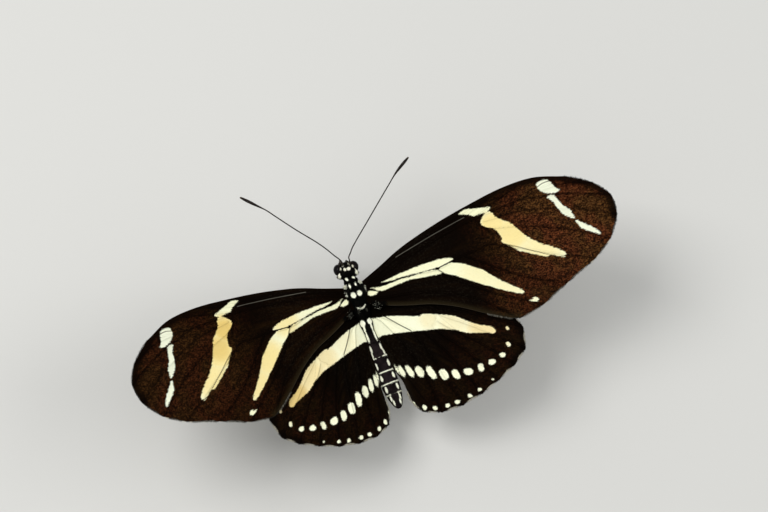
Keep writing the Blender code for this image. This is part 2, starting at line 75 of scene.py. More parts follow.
# Station towards the head from the thorax's middle, half width, half height, height of the middle
TRUNK_OUTLINE = [
    (7.5, 0.0, 0.0, -0.35), (7.46, 0.42, 0.34, -0.34), (7.36, 0.82, 0.64, -0.3), (7.18, 1.08, 0.84, -0.24),
    (6.9, 1.22, 1.0, -0.17), (6.5, 1.34, 1.12, -0.12), (6.15, 1.4, 1.16, -0.08), (5.85, 1.52, 1.14, -0.06),
    (5.5, 1.76, 1.06, -0.04), (5.2, 1.8, 0.96, -0.02), (5.0, 1.56, 0.88, 0.0), (4.84, 1.2, 0.82, 0.0),
    (4.68, 1.08, 0.88, 0.02), (4.4, 1.14, 1.06, 0.03), (4.05, 1.2, 1.16, 0.02),
    (3.75, 1.24, 1.12, 0.0), (3.6, 1.32, 1.14, 0.0), (3.4, 1.44, 1.24, 0.0),
    (2.9, 1.58, 1.46, 0.0), (1.8, 1.68, 1.67, 0.0), (0.5, 1.72, 1.75, 0.0),
    (-0.8, 1.62, 1.65, 0.0), (-1.8, 1.33, 1.38, 0.0), (-2.4, 1.02, 1.08, 0.0),
    (-2.66, 1.0, 0.92, 0.0), (-2.9, 1.12, 0.92, 0.0), (-3.25, 1.2, 0.97, 0.0), (-3.8, 1.1, 0.98, 0.0),
    (-4.6, 0.94, 0.97, 0.0), (-5.6, 0.96, 1.0, 0.0), (-6.8, 1.08, 1.08, 0.0), (-8.1, 1.26, 1.2, 0.0),
    (-9.4, 1.38, 1.33, 0.0), (-11.95, 1.56, 1.5, 0.0), (-14.0, 1.56, 1.5, 0.0), (-15.85, 1.38, 1.32, 0.0),
    (-17.2, 1.02, 0.97, 0.0), (-17.85, 0.74, 0.7, 0.0), (-18.2, 0.5, 0.46, 0.0), (-18.36, 0.3, 0.28, 0.0),
    (-18.42, 0.0, 0.0, 0.0),
]

# Cream dots on the back: out from the middle line, station, half across, half along
BACK_DOTS = [
    (0.36, 6.26, 0.25, 0.28), (0.06, 6.33, 0.22, 0.07), (1.05, 6.52, 0.21, 0.24),
    (1.45, 5.92, 0.25, 0.36), (1.54, 5.42, 0.33, 0.5),
    (0.6, 4.64, 0.25, 0.27), (0.53, 3.46, 0.18, 0.34), (1.38, 3.5, 0.3, 0.3),
    (0.56, 1.88, 0.46, 0.5), (0.66, -3.15, 0.48, 0.6), (0.64, -4.1, 0.2, 0.8),
    (0.68, -5.6, 0.23, 0.95), (0.88, -7.75, 0.24, 0.62), (1.05, -8.8, 0.22, 0.56), (1.07, -10.7, 0.28, 0.6),
    (1.06, -12.9, 0.29, 0.5), (1.0, -14.85, 0.26, 0.54), (0.78, -16.5, 0.2, 0.5), (0.54, -17.35, 0.17, 0.5),
]
MARK_ROLL = [  # station, turn of the marks towards the left
    (-4.7, 0.13), (-2.7, 0.0), (-1.0, 0.035), (1.9, 0.044), (3.0, 0.1), (3.7, 0.1),
    (4.3, 0.027), (4.9, 0.027), (5.3, 0.1), (5.8, 0.1), (6.2, 0.07),
]

# Faint grey patches between the feelers and behind the shoulders: out, station, strength
GREY_PATCHES = [(0.42, 7.05, -0.02), (0.75, -1.15, -0.06)]

BLACK_SCALES = [(0.0014, 0.0014, 0.0012), (0.0035, 0.003, 0.0026)]
BROWN_SCALES = [(0.0065, 0.0044, 0.0048), (0.017, 0.0115, 0.0125)]
CREAM_SCALES = [(0.92, 0.94, 0.79), (0.88, 0.86, 0.64)]
PALE_TIPS = (0.03, 0.026, 0.02)
# Pink cast painted on the head's cream marks as a reflection of red light
PAINTED_PINK_REFLECTION = (0.86, 0.72, 0.64)
DEEP_CREAM = (0.6, 0.54, 0.36)


def smooth_line(points, step, closed=False):
    """Points about a step apart on a smooth curve through the given ones."""
    given = [np.array(p, float) for p in points]
    count = len(given)
    line = []
    for i in range(count if closed else count - 1):
        before = given[i - 1] if closed or i > 0 else given[0]
        start = given[i]
        end = given[(i + 1) % count]
        after = given[(i + 2) % count] if closed or i + 2 < count else end
        reach = np.linalg.norm(end - start)
        slope_in = (end - before) * reach / (np.linalg.norm(end - start) + np.linalg.norm(start - before))
        slope_out = (after - start) * reach / (np.linalg.norm(after - end) + np.linalg.norm(end - start))
        pieces = max(1, round(reach / step))
        for k in range(pieces):
            t = k / pieces
            line.append(
                start * (2 * t**3 - 3 * t**2 + 1) + end * (3 * t**2 - 2 * t**3)
                + slope_in * (t**3 - 2 * t**2 + t) + slope_out * (t**3 - t**2)
            )
    if not closed:
        line.append(given[-1])
    return line


def eased(value, low, high):
    """0 below low, 1 above high, and a soft step between them."""
    share = min(1.0, max(0.0, (value - low) / (high - low)))
    return share * share * (3.0 - 2.0 * share)


trunk_line = np.array(smooth_line(TRUNK_OUTLINE, 0.1))
hinge = Matrix.Translation(Vector((0.0, -WAIST, 0.0)))
raised = (
    hinge @ Matrix.Rotation(ABDOMEN_SWING, 4, "Z") @ Matrix.Rotation(ABDOMEN_LIFT, 4, "X") @ hinge.inverted()
)
head_turned = (
    Matrix.Translation(HEAD_PIVOT) @ Matrix.Rotation(HEAD_TURN, 4, "Z") @ Matrix.Translation(-HEAD_PIVOT)
)


def trunk_section(station):
    """Half width, half height and height of the middle of the trunk at a station."""
    return [float(np.interp(station, trunk_line[::-1, 0], trunk_line[::-1, k])) for k in (1, 2, 3)]


def squareness(station):
    """Power of the trunk's section: 2 for an ellipse, more at the squarer head."""
    return 2.0 + 0.7 * eased(station, 4.75, 5.2)


def section_place(station, angle, off=0.0):
    """Distance out and height of a point of the trunk's section."""
    wide, high, middle = trunk_section(station)
    power = 2.0 / squareness(station)
    across, upward = (math.copysign(abs(part) ** power, part) for part in (math.sin(angle), math.cos(angle)))
    return (wide + off) * across, middle + (high + off) * upward


def trunk_point(station, angle, off=0.0):
    """Point of the trunk's skin, its angle counted from straight up towards the left."""
    rim = 0.0
    for joint in RING_JOINTS:
        behind = joint - station
        if -RING_RIM[1] < behind <= 0.0:
            rim += RING_RIM[0] * (1.0 + behind / RING_RIM[1])
        elif 0.0 < behind < RING_GROOVE[1]:
            rim -= RING_GROOVE[0] * (1.0 - behind / RING_GROOVE[1])
    out, height = section_place(station, angle, rim + off)
    point = Vector((out, -station, height))
    point = point.lerp(head_turned @ point, eased(station, 4.4, 5.1))
    return point.lerp(raised @ point, eased(-station, -WAIST - 0.4, -WAIST + 0.4))


def trunk_cream(station, angle):
    """Millimetres inside the nearest cream mark of the trunk, or outside it where negative."""
    wide, high, middle = trunk_section(station)
    power = squareness(station)
    turn = abs(angle - float(np.interp(station, *zip(*MARK_ROLL))))
    out_here, height_here = section_place(station, turn)
    nearest = -2.0
    for out, place, across, along in BACK_DOTS:
        share = min(0.97, out / max(wide, 0.1))
        height = middle + high * (1.0 - share**power) ** (1.0 / power)
        gap = math.hypot(out_here - share * wide, height_here - height)
        reach = math.hypot(gap / across, (station - place) / along)
        nearest = max(nearest, min(across, along) * (1.0 - reach))
    for joint, gap in zip(RING_JOINTS[2:], BAR_GAPS):
        bar = 0.1 - abs(station - joint - 0.02) - gap * eased(0.75 - wide * turn, 0.0, 0.35)
        nearest = max(nearest, min(bar, wide * (1.5 - turn)))
    for out, place, strength in GREY_PATCHES:
        nearest = max(nearest, min(strength, 0.16 - math.hypot(wide * turn - out, 0.7 * (station - place))))
    crescent = 0.11 - abs(station + 0.62 - 0.6 * (wide * turn) ** 2)
    nearest = max(nearest, min(crescent, 0.85 - wide * turn))
    if station < WAIST:
        side_line = 0.07 - abs(turn - 1.52) * wide
        belly = (turn - 2.45) * wide - 0.12 * abs(math.sin(station * 1.4))
        return max(nearest, side_line, belly)
    if station < 4.0:
        gap = min(math.hypot(station - spot, wide * (turn - 2.05)) for spot in CHEST_SPOTS)
        return max(nearest, 0.3 - gap)
    return nearest


def fill_sockets(tree, node, sockets):
    """Link each socket of a node or give it its value; a word is the number of that name on the mesh."""
    for name, value in sockets.items():
        if isinstance(value, str):
            reading = add_node(tree, "Attribute", attribute_type="GEOMETRY", attribute_name=value)
            value = reading.outputs["Fac"]
        if isinstance(value, bpy.types.NodeSocket):
            tree.links.new(value, node.inputs[name])
        else:
            node.inputs[name].default_value = value
    return node


def add_node(tree, kind, sockets=None, **settings):
    """Put a node in a tree, with its settings and its sockets filled."""
    node = tree.nodes.new("ShaderNode" + kind)
    for name, value in settings.items():
        setattr(node, name, value)
    return fill_sockets(tree, node, sockets or {})


def sums(tree, operation, first, second=0.0, third=0.0):
    """Arithmetic on numbers that change over the surface."""
    return add_node(tree, "Math", {0: first, 1: second, 2: third}, operation=operation).outputs[0]


def product(tree, value, *others):
    """Several numbers that change over the surface, multiplied."""
    for other in others:
        value = sums(tree, "MULTIPLY", value, other)
    return value


def between(tree, value, low, high, start=0.0, end=1.0):
    """A soft step from start to end as the value goes from low to high."""
    sockets = {"Value": value, "From Min": low, "From Max": high, "To Min": start, "To Max": end}
    return add_node(tree, "MapRange", sockets, interpolation_type="SMOOTHSTEP").outputs["Result"]


def layered(tree, colour, *layers):
    """A colour with others laid over it in turn, each given after its share."""
    for share, over in layers:
        pair = [(*part, 1.0) if isinstance(part, tuple) else part for part in (colour, over)]
        sockets = {0: share, 6: pair[0], 7: pair[1]}
        colour = add_node(tree, "Mix", sockets, data_type="RGBA", blend_type="MIX").outputs[2]
    return colour


def clouds(tree, vector, scale, detail=2.0, roughness=0.5):
    """Soft noise from 0 to 1, its scale counted per millimetre."""
    sockets = {"Vector": vector, "Scale": scale, "Detail": detail, "Roughness": roughness}
    return add_node(tree, "TexNoise", sockets).outputs["Fac"]


def object_millimetres(tree):
    """Object coordinates counted in millimetres."""
    place = add_node(tree, "TexCoord").outputs["Object"]
    return add_node(tree, "VectorMath", {0: place, "Scale": 1000.0}, operation="SCALE").outputs[0]


def node_group(name, inputs, outputs):
    """An empty shader group, its input and its output: numbers with their values, and one vector."""
    tree = bpy.data.node_groups.new(name, "ShaderNodeTree")
    tree.interface.new_socket(name="Vector", in_out="INPUT", socket_type="NodeSocketVector")
    for socket_name, value in inputs.items():
        socket = tree.interface.new_socket(name=socket_name, in_out="INPUT", socket_type="NodeSocketFloat")
        socket.default_value = value
    for socket_name in outputs:
        tree.interface.new_socket(name=socket_name, in_out="OUTPUT", socket_type="NodeSocketFloat")
    return tree, tree.nodes.new("NodeGroupInput").outputs, tree.nodes.new("NodeGroupOutput")


# Flat scales in rows: a tone of its own for each scale, and the height of its lifted end
scale_rows, given, leaving = node_group("scale_rows", {"Across": 9.0, "Along": 5.5}, ["Tone", "Height"])
stretch = add_node(scale_rows, "CombineXYZ", {0: given["Along"], 1: given["Across"], 2: given["Across"]})
factors = {0: given["Vector"], 1: stretch.outputs[0]}
stretched = add_node(scale_rows, "VectorMath", factors, operation="MULTIPLY").outputs[0]
cells = add_node(scale_rows, "TexVoronoi", {"Vector": stretched, "Scale": 1.0, "Randomness": 0.75}).outputs
tone = add_node(scale_rows, "SeparateColor", {0: cells["Color"]}).outputs[0]
lifted_end = sums(scale_rows, "SUBTRACT", 1.0, cells["Distance"])
fill_sockets(scale_rows, leaving, {"Tone": tone, "Height": lifted_end})

# Scaly edge of a mark: 0 outside and 1 inside, ragged by single scales that differ
mark_edge, given, leaving = node_group(
    "mark_edge", {"Inside": 0.0, "Tone": 0.5, "Ragged": 0.12, "Softness": 0.06}, ["Mask"],
)
wander = sums(mark_edge, "SUBTRACT", clouds(mark_edge, given["Vector"], 1.6, 3.0), 0.5)
single = sums(mark_edge, "SUBTRACT", given["Tone"], 0.5)
uneven = sums(mark_edge, "MULTIPLY_ADD", wander, 1.2, single)
moved_edge = sums(mark_edge, "MULTIPLY_ADD", uneven, given["Ragged"], given["Inside"])
mask = between(mark_edge, moved_edge, product(mark_edge, given["Softness"], -1.0), given["Softness"])
fill_sockets(mark_edge, leaving, {"Mask": mask})


def placed_group(tree, group, **sockets):
    """A shared group put into a material with its own values."""
    return add_node(tree, "Group", sockets, node_tree=group).outputs


def new_finish(name, roughness, specular=0.35):
    """A material with a plain shader, and its tree."""
    finish = bpy.data.materials.new(name)
    finish.use_nodes = True
    shader = finish.node_tree.nodes["Principled BSDF"]
    fill_sockets(finish.node_tree, shader, {"Roughness": roughness, "Specular IOR Level": specular})
    return finish, finish.node_tree, shader


def coloured(tree, shader, colour, height=None, depth=0.0):
    """Colour the surface, and raise it by a height whose full depth is given in metres."""
    fill_sockets(tree, shader, {"Base Color": colour})
    if height is not None:
        bump = add_node(tree, "Bump", {"Height": height, "Distance": depth, "Strength": 1.0})
        fill_sockets(tree, shader, {"Normal": bump.outputs[0]})


def body_scale_finish(name, roughness, fine):
    """Black body scales with paler tips, purplish brown on the abdomen, and cream marks, given a pink cast on
    the head by a painted reflection.
    """
    finish, tree, shader = new_finish(name, roughness, 0.012)
    place = object_millimetres(tree)
    rows = placed_group(tree, scale_rows, Vector=place, Across=fine, Along=fine * 0.55)
    edge = placed_group(
        tree, mark_edge, Inside="cream", Tone=rows["Tone"], Vector=place, Ragged=0.1, Softness=0.05,
    )
    patchy = clouds(tree, place, 0.9, 3.0)
    worn = between(tree, patchy, 0.35, 0.75)
    tailwards = add_node(tree, "SeparateXYZ", {0: place}).outputs[1]
    brown = layered(tree, BROWN_SCALES[0], (worn, BROWN_SCALES[1]))
    dark = layered(
        tree, BLACK_SCALES[0], (worn, BLACK_SCALES[1]), (between(tree, tailwards, 3.0, 9.0), brown),
        (between(tree, rows["Tone"], 0.8, 1.0, 0.0, 0.14), PALE_TIPS),
    )
    cream = layered(
        tree, CREAM_SCALES[0], (patchy, CREAM_SCALES[1]),
        # Painted reflection: a pink cast laid over the cream marks on the front of the head
        (between(tree, tailwards, -4.7, -5.6, 0.0, 0.25), PAINTED_PINK_REFLECTION),
        (product(tree, rows["Tone"], 0.15), DEEP_CREAM),
    )
    coloured(tree, shader, layered(tree, dark, (edge["Mask"], cream)), rows["Height"], 0.00003)
    return finish


put_in_scene = bpy.context.scene.collection.objects.link


def laid_out(mesh, name, finish):
    """Link a finished mesh as a piece of the butterfly."""
    piece = bpy.data.objects.new(name, mesh)
    mesh.materials.append(finish)
    put_in_scene(piece)
    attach(piece, "root")
    return piece


def mesh_from(bm, name):
    """A smooth mesh from a bmesh."""
    mesh = bpy.data.meshes.new(name)
    bm.to_mesh(mesh)
    bm.free()
    mesh.shade_smooth()
    return mesh


def piece_from(bm, name, finish, matrix=BODY):
    """Make a piece from a bmesh in millimetres, put it in its place and let it ride on the body."""
    bmesh.ops.transform(bm, matrix=Matrix.Scale(MM, 4) @ matrix, verts=bm.verts)
    bmesh.ops.recalc_face_normals(bm, faces=bm.faces)
    return laid_out(mesh_from(bm, name), name, finish)


def give_values(mesh, name, values):
    """Write one number for each corner point of a mesh."""
    layer = mesh.attributes.new(name, "FLOAT", "POINT")
    layer.data.foreach_set("value", np.array(values, np.float32))


bm = bmesh.new()
profile = [bm.verts.new((wide, -station, 0.0)) for station, wide, _, _ in trunk_line]
edges = [bm.edges.new(pair) for pair in zip(profile, profile[1:])]
bmesh.ops.spin(
    bm, geom=profile + edges, cent=(0.0, 0.0, 0.0), axis=(0.0, 1.0, 0.0),
    angle=math.tau, steps=72, use_merge=True,
)
bmesh.ops.remove_doubles(bm, verts=bm.verts, dist=0.0005)
straight = [(-v.co.y, math.atan2(v.co.x, v.co.z) if v.co.xz.length > 0.001 else 0.0) for v in bm.verts]
for v, (station, angle) in zip(bm.verts, straight):
    v.co = trunk_point(station, angle)
skin_finish = body_scale_finish("body_scales", 0.62, 9.0)
skin = piece_from(bm, "body_skin", skin_finish)
give_values(skin.data, "cream", [trunk_cream(station, angle) for station, angle in straight])
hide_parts("head", "prothorax", "thorax", "abdomen")

# Coat: soft black hair and lifted scales stand on the skin, longer on the thorax and the head
# and short and flat on the abdomen. Each is a thin curved blade rooted in the skin, with the
# skin's own marks, and its patch of the unwrap lies at its root.
COAT = [  # piece, from station, to station, tufts per square millimetre, length, width, lean
    ("head_hair", 4.9, 7.4, 60.0, 0.28, 0.075, 30.0),
    ("thorax_hair", -2.7, 4.9, 60.0, 0.42, 0.09, 15.0),
    ("abdomen_scales", -18.3, -2.7, 40.0, 0.3, 0.11, 8.0),
]
BARE_ANGLES = (1.05, 2.3)  # no hair grows under the eyes
BARE_STATIONS = (5.6, 7.2)
FACE_STATION = 5.6  # hair in front of it points forwards
FACE_FRONT = (6.6, 7.3)  # hair gets shorter and flatter from the first station to the second
SHOULDER_TUFTS = 80  # cream hair that stands out on each shoulder, before the wing
SHOULDER_STATION = 3.58
SHOULDER_ANGLE = 1.12
SHOULDER_SPREAD = 0.13
TUFT_SECTIONS = [(0.0, 0.85), (0.4, 1.0), (0.78, 0.62)]  # share of the length, share of the width
TUFT_DROOP = 0.16
TUFT_PATCH = (0.0012, 0.0024)  # half width and length on the unwrap
SKIN_LENGTH = TRUNK_OUTLINE[0][0] - TRUNK_OUTLINE[-1][0]
UP = Vector((0.0, 0.0, 1.0))


def hair_piece(name, tufts, finish, value="cream", matrix=BODY):
    """Join many blades in one piece.

    Each is its root, direction, side, normal, length, width, place on the unwrap and own number.
    """
    root, ahead, across, normal = (np.array([tuft[k][:] for tuft in tufts]) for k in range(4))
    length, width = (np.array([tuft[k] for tuft in tufts])[:, None] for k in (4, 5))
    home = np.array([tuft[6] for tuft in tufts])
    corners = []
    places = []
    for share, wide in TUFT_SECTIONS:
        middle = root + ahead * length * share - normal * (TUFT_DROOP * length * share**2)
        for turn in range(3):
            angle = math.tau * turn / 3.0 + math.pi / 6.0
            sideways = across * math.cos(angle) * width * wide * 0.5
            deep = normal * math.sin(angle) * width * wide * 0.2
            corners.append(middle + sideways + deep)
            places.append(home + np.array([(math.cos(angle) * TUFT_PATCH[0], (share - 0.5) * TUFT_PATCH[1])]))
    corners.append(root + ahead * length - normal * TUFT_DROOP * length)
    places.append(home + np.array([(0.0, 0.0014)]))
    per_tuft = len(corners)
    last = per_tuft - 4
    ends = [(2, 1, 0)] + [(last + turn, last + (turn + 1) % 3, per_tuft - 1) for turn in range(3)]
    faces = ends[:1]
    for ring in range(0, last, 3):
        for turn in range(3):
            low, high = ring + turn, ring + (turn + 1) % 3
            faces.append((low, high, high + 3, low + 3))
    faces += ends[1:]
    faces = [tuple(corner + k * per_tuft for corner in face) for k in range(len(tufts)) for face in faces]
    turning = np.array((Matrix.Scale(MM, 4) @ matrix).to_3x3())
    points = np.stack(corners, 1).reshape(-1, 3) @ turning.T + np.array(matrix.translation) * MM
    mesh = bpy.data.meshes.new(name)
    mesh.from_pydata(points.tolist(), [], faces)
    corner_points = np.zeros(len(mesh.loops), int)
    mesh.loops.foreach_get("vertex_index", corner_points)
    unwrap = np.stack(places, 1).reshape(-1, 2)[corner_points]
    mesh.uv_layers.new(name="OFBake").data.foreach_set("uv", unwrap.astype(np.float32).ravel())
    mesh.shade_smooth()
    give_values(mesh, value, np.repeat([tuft[7] for tuft in tufts], per_tuft))
    laid_out(mesh, name, finish)


def skin_frame(station, angle):
    """Root, direction to the tail, direction round the body and outward normal on the skin."""
    root = trunk_point(station, angle, -0.03)
    tailwards = (trunk_point(station - 0.05, angle) - trunk_point(station + 0.05, angle)).normalized()
    around = (trunk_point(station, angle + 0.02) - trunk_point(station, angle - 0.02)).normalized()
    normal = tailwards.cross(around).normalized()
    if normal.dot(root - trunk_point(station, angle, -0.5)) < 0.0:
        normal.negate()
    return root, tailwards, around, normal


def skin_home(station, angle):
    """Place of a point of the trunk on the unwrap of the skin."""
    return 0.05 + 0.9 * (angle / math.tau + 0.5), 0.05 + 0.9 * (station - TRUNK_OUTLINE[-1][0]) / SKIN_LENGTH


chance = random.Random(7)
hair_finish = body_scale_finish("body_hair", 0.55, 14.0)
for name, rear, front, density, length, width, lean in COAT:
    tufts = []
    run = front - rear
    area = sum(math.tau * trunk_section(rear + run * (k + 0.5) / 40)[0] * run / 40 for k in range(40))
    widest = max(trunk_section(rear + run * k / 40)[0] for k in range(41))
    while len(tufts) < density * area:
        station = chance.uniform(rear, front)
        angle = chance.uniform(-math.pi, math.pi)
        wide = trunk_section(station)[0]
        if chance.random() * widest > wide:
            continue
        under_eye = (
            BARE_ANGLES[0] < abs(angle) < BARE_ANGLES[1] and BARE_STATIONS[0] < station < BARE_STATIONS[1]
        )
        if name == "head_hair" and under_eye:
            continue
        root, tailwards, around, normal = skin_frame(station, angle)
        tilt = math.radians(lean * chance.uniform(0.6, 1.4))
        tilt *= 1.0 - 0.6 * eased(trunk_cream(station, angle), 0.0, 0.06)
        drift = chance.gauss(0.0, 0.22)
        ahead = tailwards * math.cos(drift) + around * math.sin(drift)
        if name == "head_hair" and station > FACE_STATION:
            ahead.negate()
            tilt *= 1.0 - 0.6 * eased(station, *FACE_FRONT)
        side = ahead.cross(normal).normalized()
        ahead = ahead * math.cos(tilt) + normal * math.sin(tilt)
        size = chance.uniform(0.7, 1.25)
        if name == "head_hair":
            size *= 1.0 - 0.45 * eased(station, *FACE_FRONT)
        if name == "abdomen_scales":
            size *= 0.6 + 0.4 * eased(wide, 0.2, 0.9)
        cream = trunk_cream(station + 0.45 * ahead.y * -length * size, angle)
        home = skin_home(station, angle)
        thick = width * chance.uniform(0.7, 1.2)
        tufts.append((root, ahead, side, normal, length * size, thick, home, cream))
    for k in range(2 * SHOULDER_TUFTS if name == "thorax_hair" else 0):
        station = chance.gauss(SHOULDER_STATION, SHOULDER_SPREAD)
        angle = chance.gauss(SHOULDER_ANGLE, SHOULDER_SPREAD) * (1 - 2 * (k % 2))
        root, tailwards, around, normal = skin_frame(station, angle)
        ahead = tailwards * chance.uniform(0.3, 0.8) + normal * 0.9 + around * chance.gauss(0.0, 0.25)
        ahead.normalize()
        side = ahead.cross(UP).normalized()
        size = 0.5 * chance.uniform(0.7, 1.1)
        tufts.append((root, ahead, side, side.cross(ahead), size, 0.11, skin_home(station, angle), 0.3))
    hair_piece(name, tufts, hair_finish)

# Eyes: big dark domes of hexagonal lenses, one on each side of the head, each ringed at its
# foot by a narrow reddish-brown rim where it meets the scaly skin.
EYE_CENTRE = (1.3, -6.42, -0.3)
EYE_HALF = (0.82, 0.96, 0.93)
LENS_RISE = 0.014
LENS_BROWNS = [(0.0018, 0.0012, 0.0013), (0.005, 0.003, 0.0034)]
RIM_BROWN = (0.014, 0.007, 0.005)

eye_finish, tree, shader = new_finish("compound_eye", 0.25, 0.06)
patchy = clouds(tree, object_millimetres(tree), 1.4, 2.0)
rim = between(tree, "rim", 0.0, 1.0)
coloured(tree, shader, layered(tree, LENS_BROWNS[0], (patchy, LENS_BROWNS[1]), (rim, RIM_BROWN)))
fill_sockets(tree, shader, {"Coat Weight": 0.02, "Coat Roughness": 0.12})
lens_ball = bmesh.new()
bmesh.ops.create_icosphere(lens_ball, subdivisions=5, radius=1.0)
lens_centres = np.array([v.co[:] for v in lens_ball.verts])
lens_ball.free()
for side_name, side in SIDES.items():
    bm = bmesh.new()
    bmesh.ops.create_icosphere(bm, subdivisions=6, radius=1.0)
    rims = []
    for v in bm.verts:
        nearest = np.abs(lens_centres - np.array(v.co[:])).sum(axis=1).min()
        rims.append(eased(-0.06 - v.co.x, 0.0, 0.08))
        v.co *= 1.0 + (LENS_RISE if nearest < 0.005 else 0.0)
    bmesh.ops.scale(bm, vec=EYE_HALF, verts=bm.verts)
    bmesh.ops.translate(bm, vec=EYE_CENTRE, verts=bm.verts)
    bmesh.ops.scale(bm, vec=(side, 1.0, 1.0), verts=bm.verts)
    eye = piece_from(bm, f"{side_name}_eye", eye_finish, BODY @ head_turned)
    give_values(eye.data, "rim", rims)
    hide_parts(f"eye_{side_name}")

# Feelers: slim jointed rods of dark cuticle that end in a slender club, each standing in a
# pale-rimmed socket on the crown. Each is drawn out along a gentle bow of its own.
ANTENNA_ROOT = Vector((0.6, -7.05, 0.56))
ANTENNA_STEM = Vector((0.68, -7.55, 0.98))
ANTENNA_BENDS = {
    "left": [
        (0.74, -8.15, 1.18), (1.44, -9.11, 1.5), (2.39, -10.56, 1.85), (3.64, -12.2, 2.2),
        (6.21, -15.16, 2.85), (8.69, -18.27, 3.3), (9.91, -19.82, 3.5), (11.34, -21.26, 3.58),
        (13.3, -23.25, 3.6),
    ],
    "right": [
        (-0.84, -8.03, 1.16), (-1.31, -8.61, 1.33), (-2.03, -9.47, 1.6), (-5.6, -12.6, 2.55),
        (-9.24, -15.72, 3.2), (-11.18, -17.35, 3.42), (-12.28, -18.27, 3.5), (-13.47, -19.08, 3.56),
        (-15.5, -20.28, 3.6),
    ],
}
SHAFT_RADIUS = 0.1
CLUB_RADIUS = 0.26
CLUB_SHARE = 0.22
JOINT_LENGTH = 0.5
COLLAR = [(-0.2, 0.2, 0.0), (0.1, 0.22, 0.05), (0.45, 0.21, 0.12), (0.7, 0.17, 0.05), (0.85, 0.12, 0.0)]
SCALY_BROWN = (0.12, 0.1, 0.075)
PALE_CUTICLE = (0.33, 0.24, 0.13)


def cuticle_finish(name, dark, brown, roughness, specular=0.3):
    """Hard dark cuticle with a brown cast, finely pitted, lighter where its mesh says so."""
    finish, tree, shader = new_finish(name, roughness, specular)
    place = object_millimetres(tree)
    rows = placed_group(tree, scale_rows, Vector=place, Across=16.0, Along=10.0)
    colour = layered(
        tree, dark, (clouds(tree, place, 2.0, 3.0), brown),
        (between(tree, rows["Tone"], 0.7, 1.0, 0.0, 0.35), SCALY_BROWN),
        (between(tree, "pale", 0.0, 1.0), PALE_CUTICLE),
    )
    coloured(tree, shader, colour, rows["Height"], 0.00001)
    return finish


def swept(bm, points, radii, sides, pale=None):
    """A closed round rod through the points, each with its own radius and paleness."""
    layer = bm.verts.layers.float.get("pale") or bm.verts.layers.float.new("pale")
    pale = pale or [0.0] * len(points)
    places = [Vector(point) for point in points]
    across = (places[1] - places[0]).normalized().orthogonal().normalized()
    placing = []
    for place, before, after, radius in zip(places, places[:1] + places, places[1:] + places[-1:], radii):
        along = (after - before).normalized()
        across = (across - along * across.dot(along)).normalized()
        turn = Matrix((across, along.cross(across), along)).transposed().to_4x4()
        placing.append(Matrix.Translation(place) @ turn @ Matrix.Scale(radius, 4))
    ring = bmesh.ops.create_circle(bm, cap_ends=False, segments=sides, radius=1.0, matrix=placing[0])["verts"]
    first = ring
    for i in range(len(places)):
        if i > 0:
            edges = {edge for v in ring for edge in v.link_edges if edge.other_vert(v) in ring}
            grown = bmesh.ops.extrude_edge_only(bm, edges=list(edges))["geom"]
            ring = [part for part in grown if isinstance(part, bmesh.types.BMVert)]
            bmesh.ops.transform(bm, matrix=placing[i] @ placing[i - 1].inverted(), verts=ring)
        for v in ring:
            v[layer] = pale[i]
    for end in (first, ring):
        bmesh.ops.contextual_create(bm, geom=end)


antenna_finish = cuticle_finish("antenna_cuticle", (0.005, 0.0035, 0.003), (0.013, 0.009, 0.007), 0.5, 0.08)
for side_name, side in SIDES.items():
    root, stem = (head_turned @ Vector((side * at.x, at.y, at.z)) for at in (ANTENNA_ROOT, ANTENNA_STEM))
    line = smooth_line([root[:], stem[:]] + ANTENNA_BENDS[side_name], 0.1)
    run = np.concatenate([[0.0], np.cumsum([np.linalg.norm(b - a) for a, b in zip(line, line[1:])])])
    radii = []
    pale = []
    for reach in run:
        share = reach / run[-1]
        swell = max(0.0, (share - 1.0 + CLUB_SHARE) / CLUB_SHARE)
        club = math.sin(math.pi * min(1.0, swell) ** 1.5 * 0.93)
        joint = abs((reach / (JOINT_LENGTH * (1.0 - 0.55 * min(1.0, swell * 2.0)))) % 1.0 - 0.5) * 2.0
        radius = SHAFT_RADIUS + (CLUB_RADIUS - SHAFT_RADIUS) * max(0.0, club)
        radii.append(radius * (1.0 - 0.1 * eased(joint, 0.75, 1.0)))
        pale.append(0.25 * eased(share, 0.97, 1.0) + 0.1 * eased(joint, 0.8, 1.0))
    radii[-1] = radii[-2] * 0.6
    bm = bmesh.new()
    swept(bm, line, radii, 14, pale)
    shares, collar_radii, collar_pale = zip(*COLLAR)
    swept(bm, [root + (stem - root) * share for share in shares], collar_radii, 18, collar_pale)
    feeler = piece_from(bm, f"{side_name}_feeler", antenna_finish)
    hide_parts(f"antenna_{side_name}")

# Palps and tongue: two hairy three-jointed palps curve up before the face, and between them the
# sucking tongue is wound like a watch spring out of two half tubes with ringed walls.
PALP_LINE = [(0.52, 6.7, -0.98), (0.66, 7.12, -1.26), (0.64, 7.4, -1.05), (0.58, 7.48, -0.7)]
PALP_RADII = [0.2, 0.24, 0.21, 0.09]
TONGUE_CENTRE = (6.95, -3.0)
TONGUE_OUTER = 1.08
TONGUE_INNER = 0.16
TONGUE_START = math.radians(105.0)
TONGUE_TURNS = 3.4
TONGUE_RADIUS = 0.105
TONGUE_STEPS = 40  # short tubes in each turn of the coil
PALP_HAIRS = 220

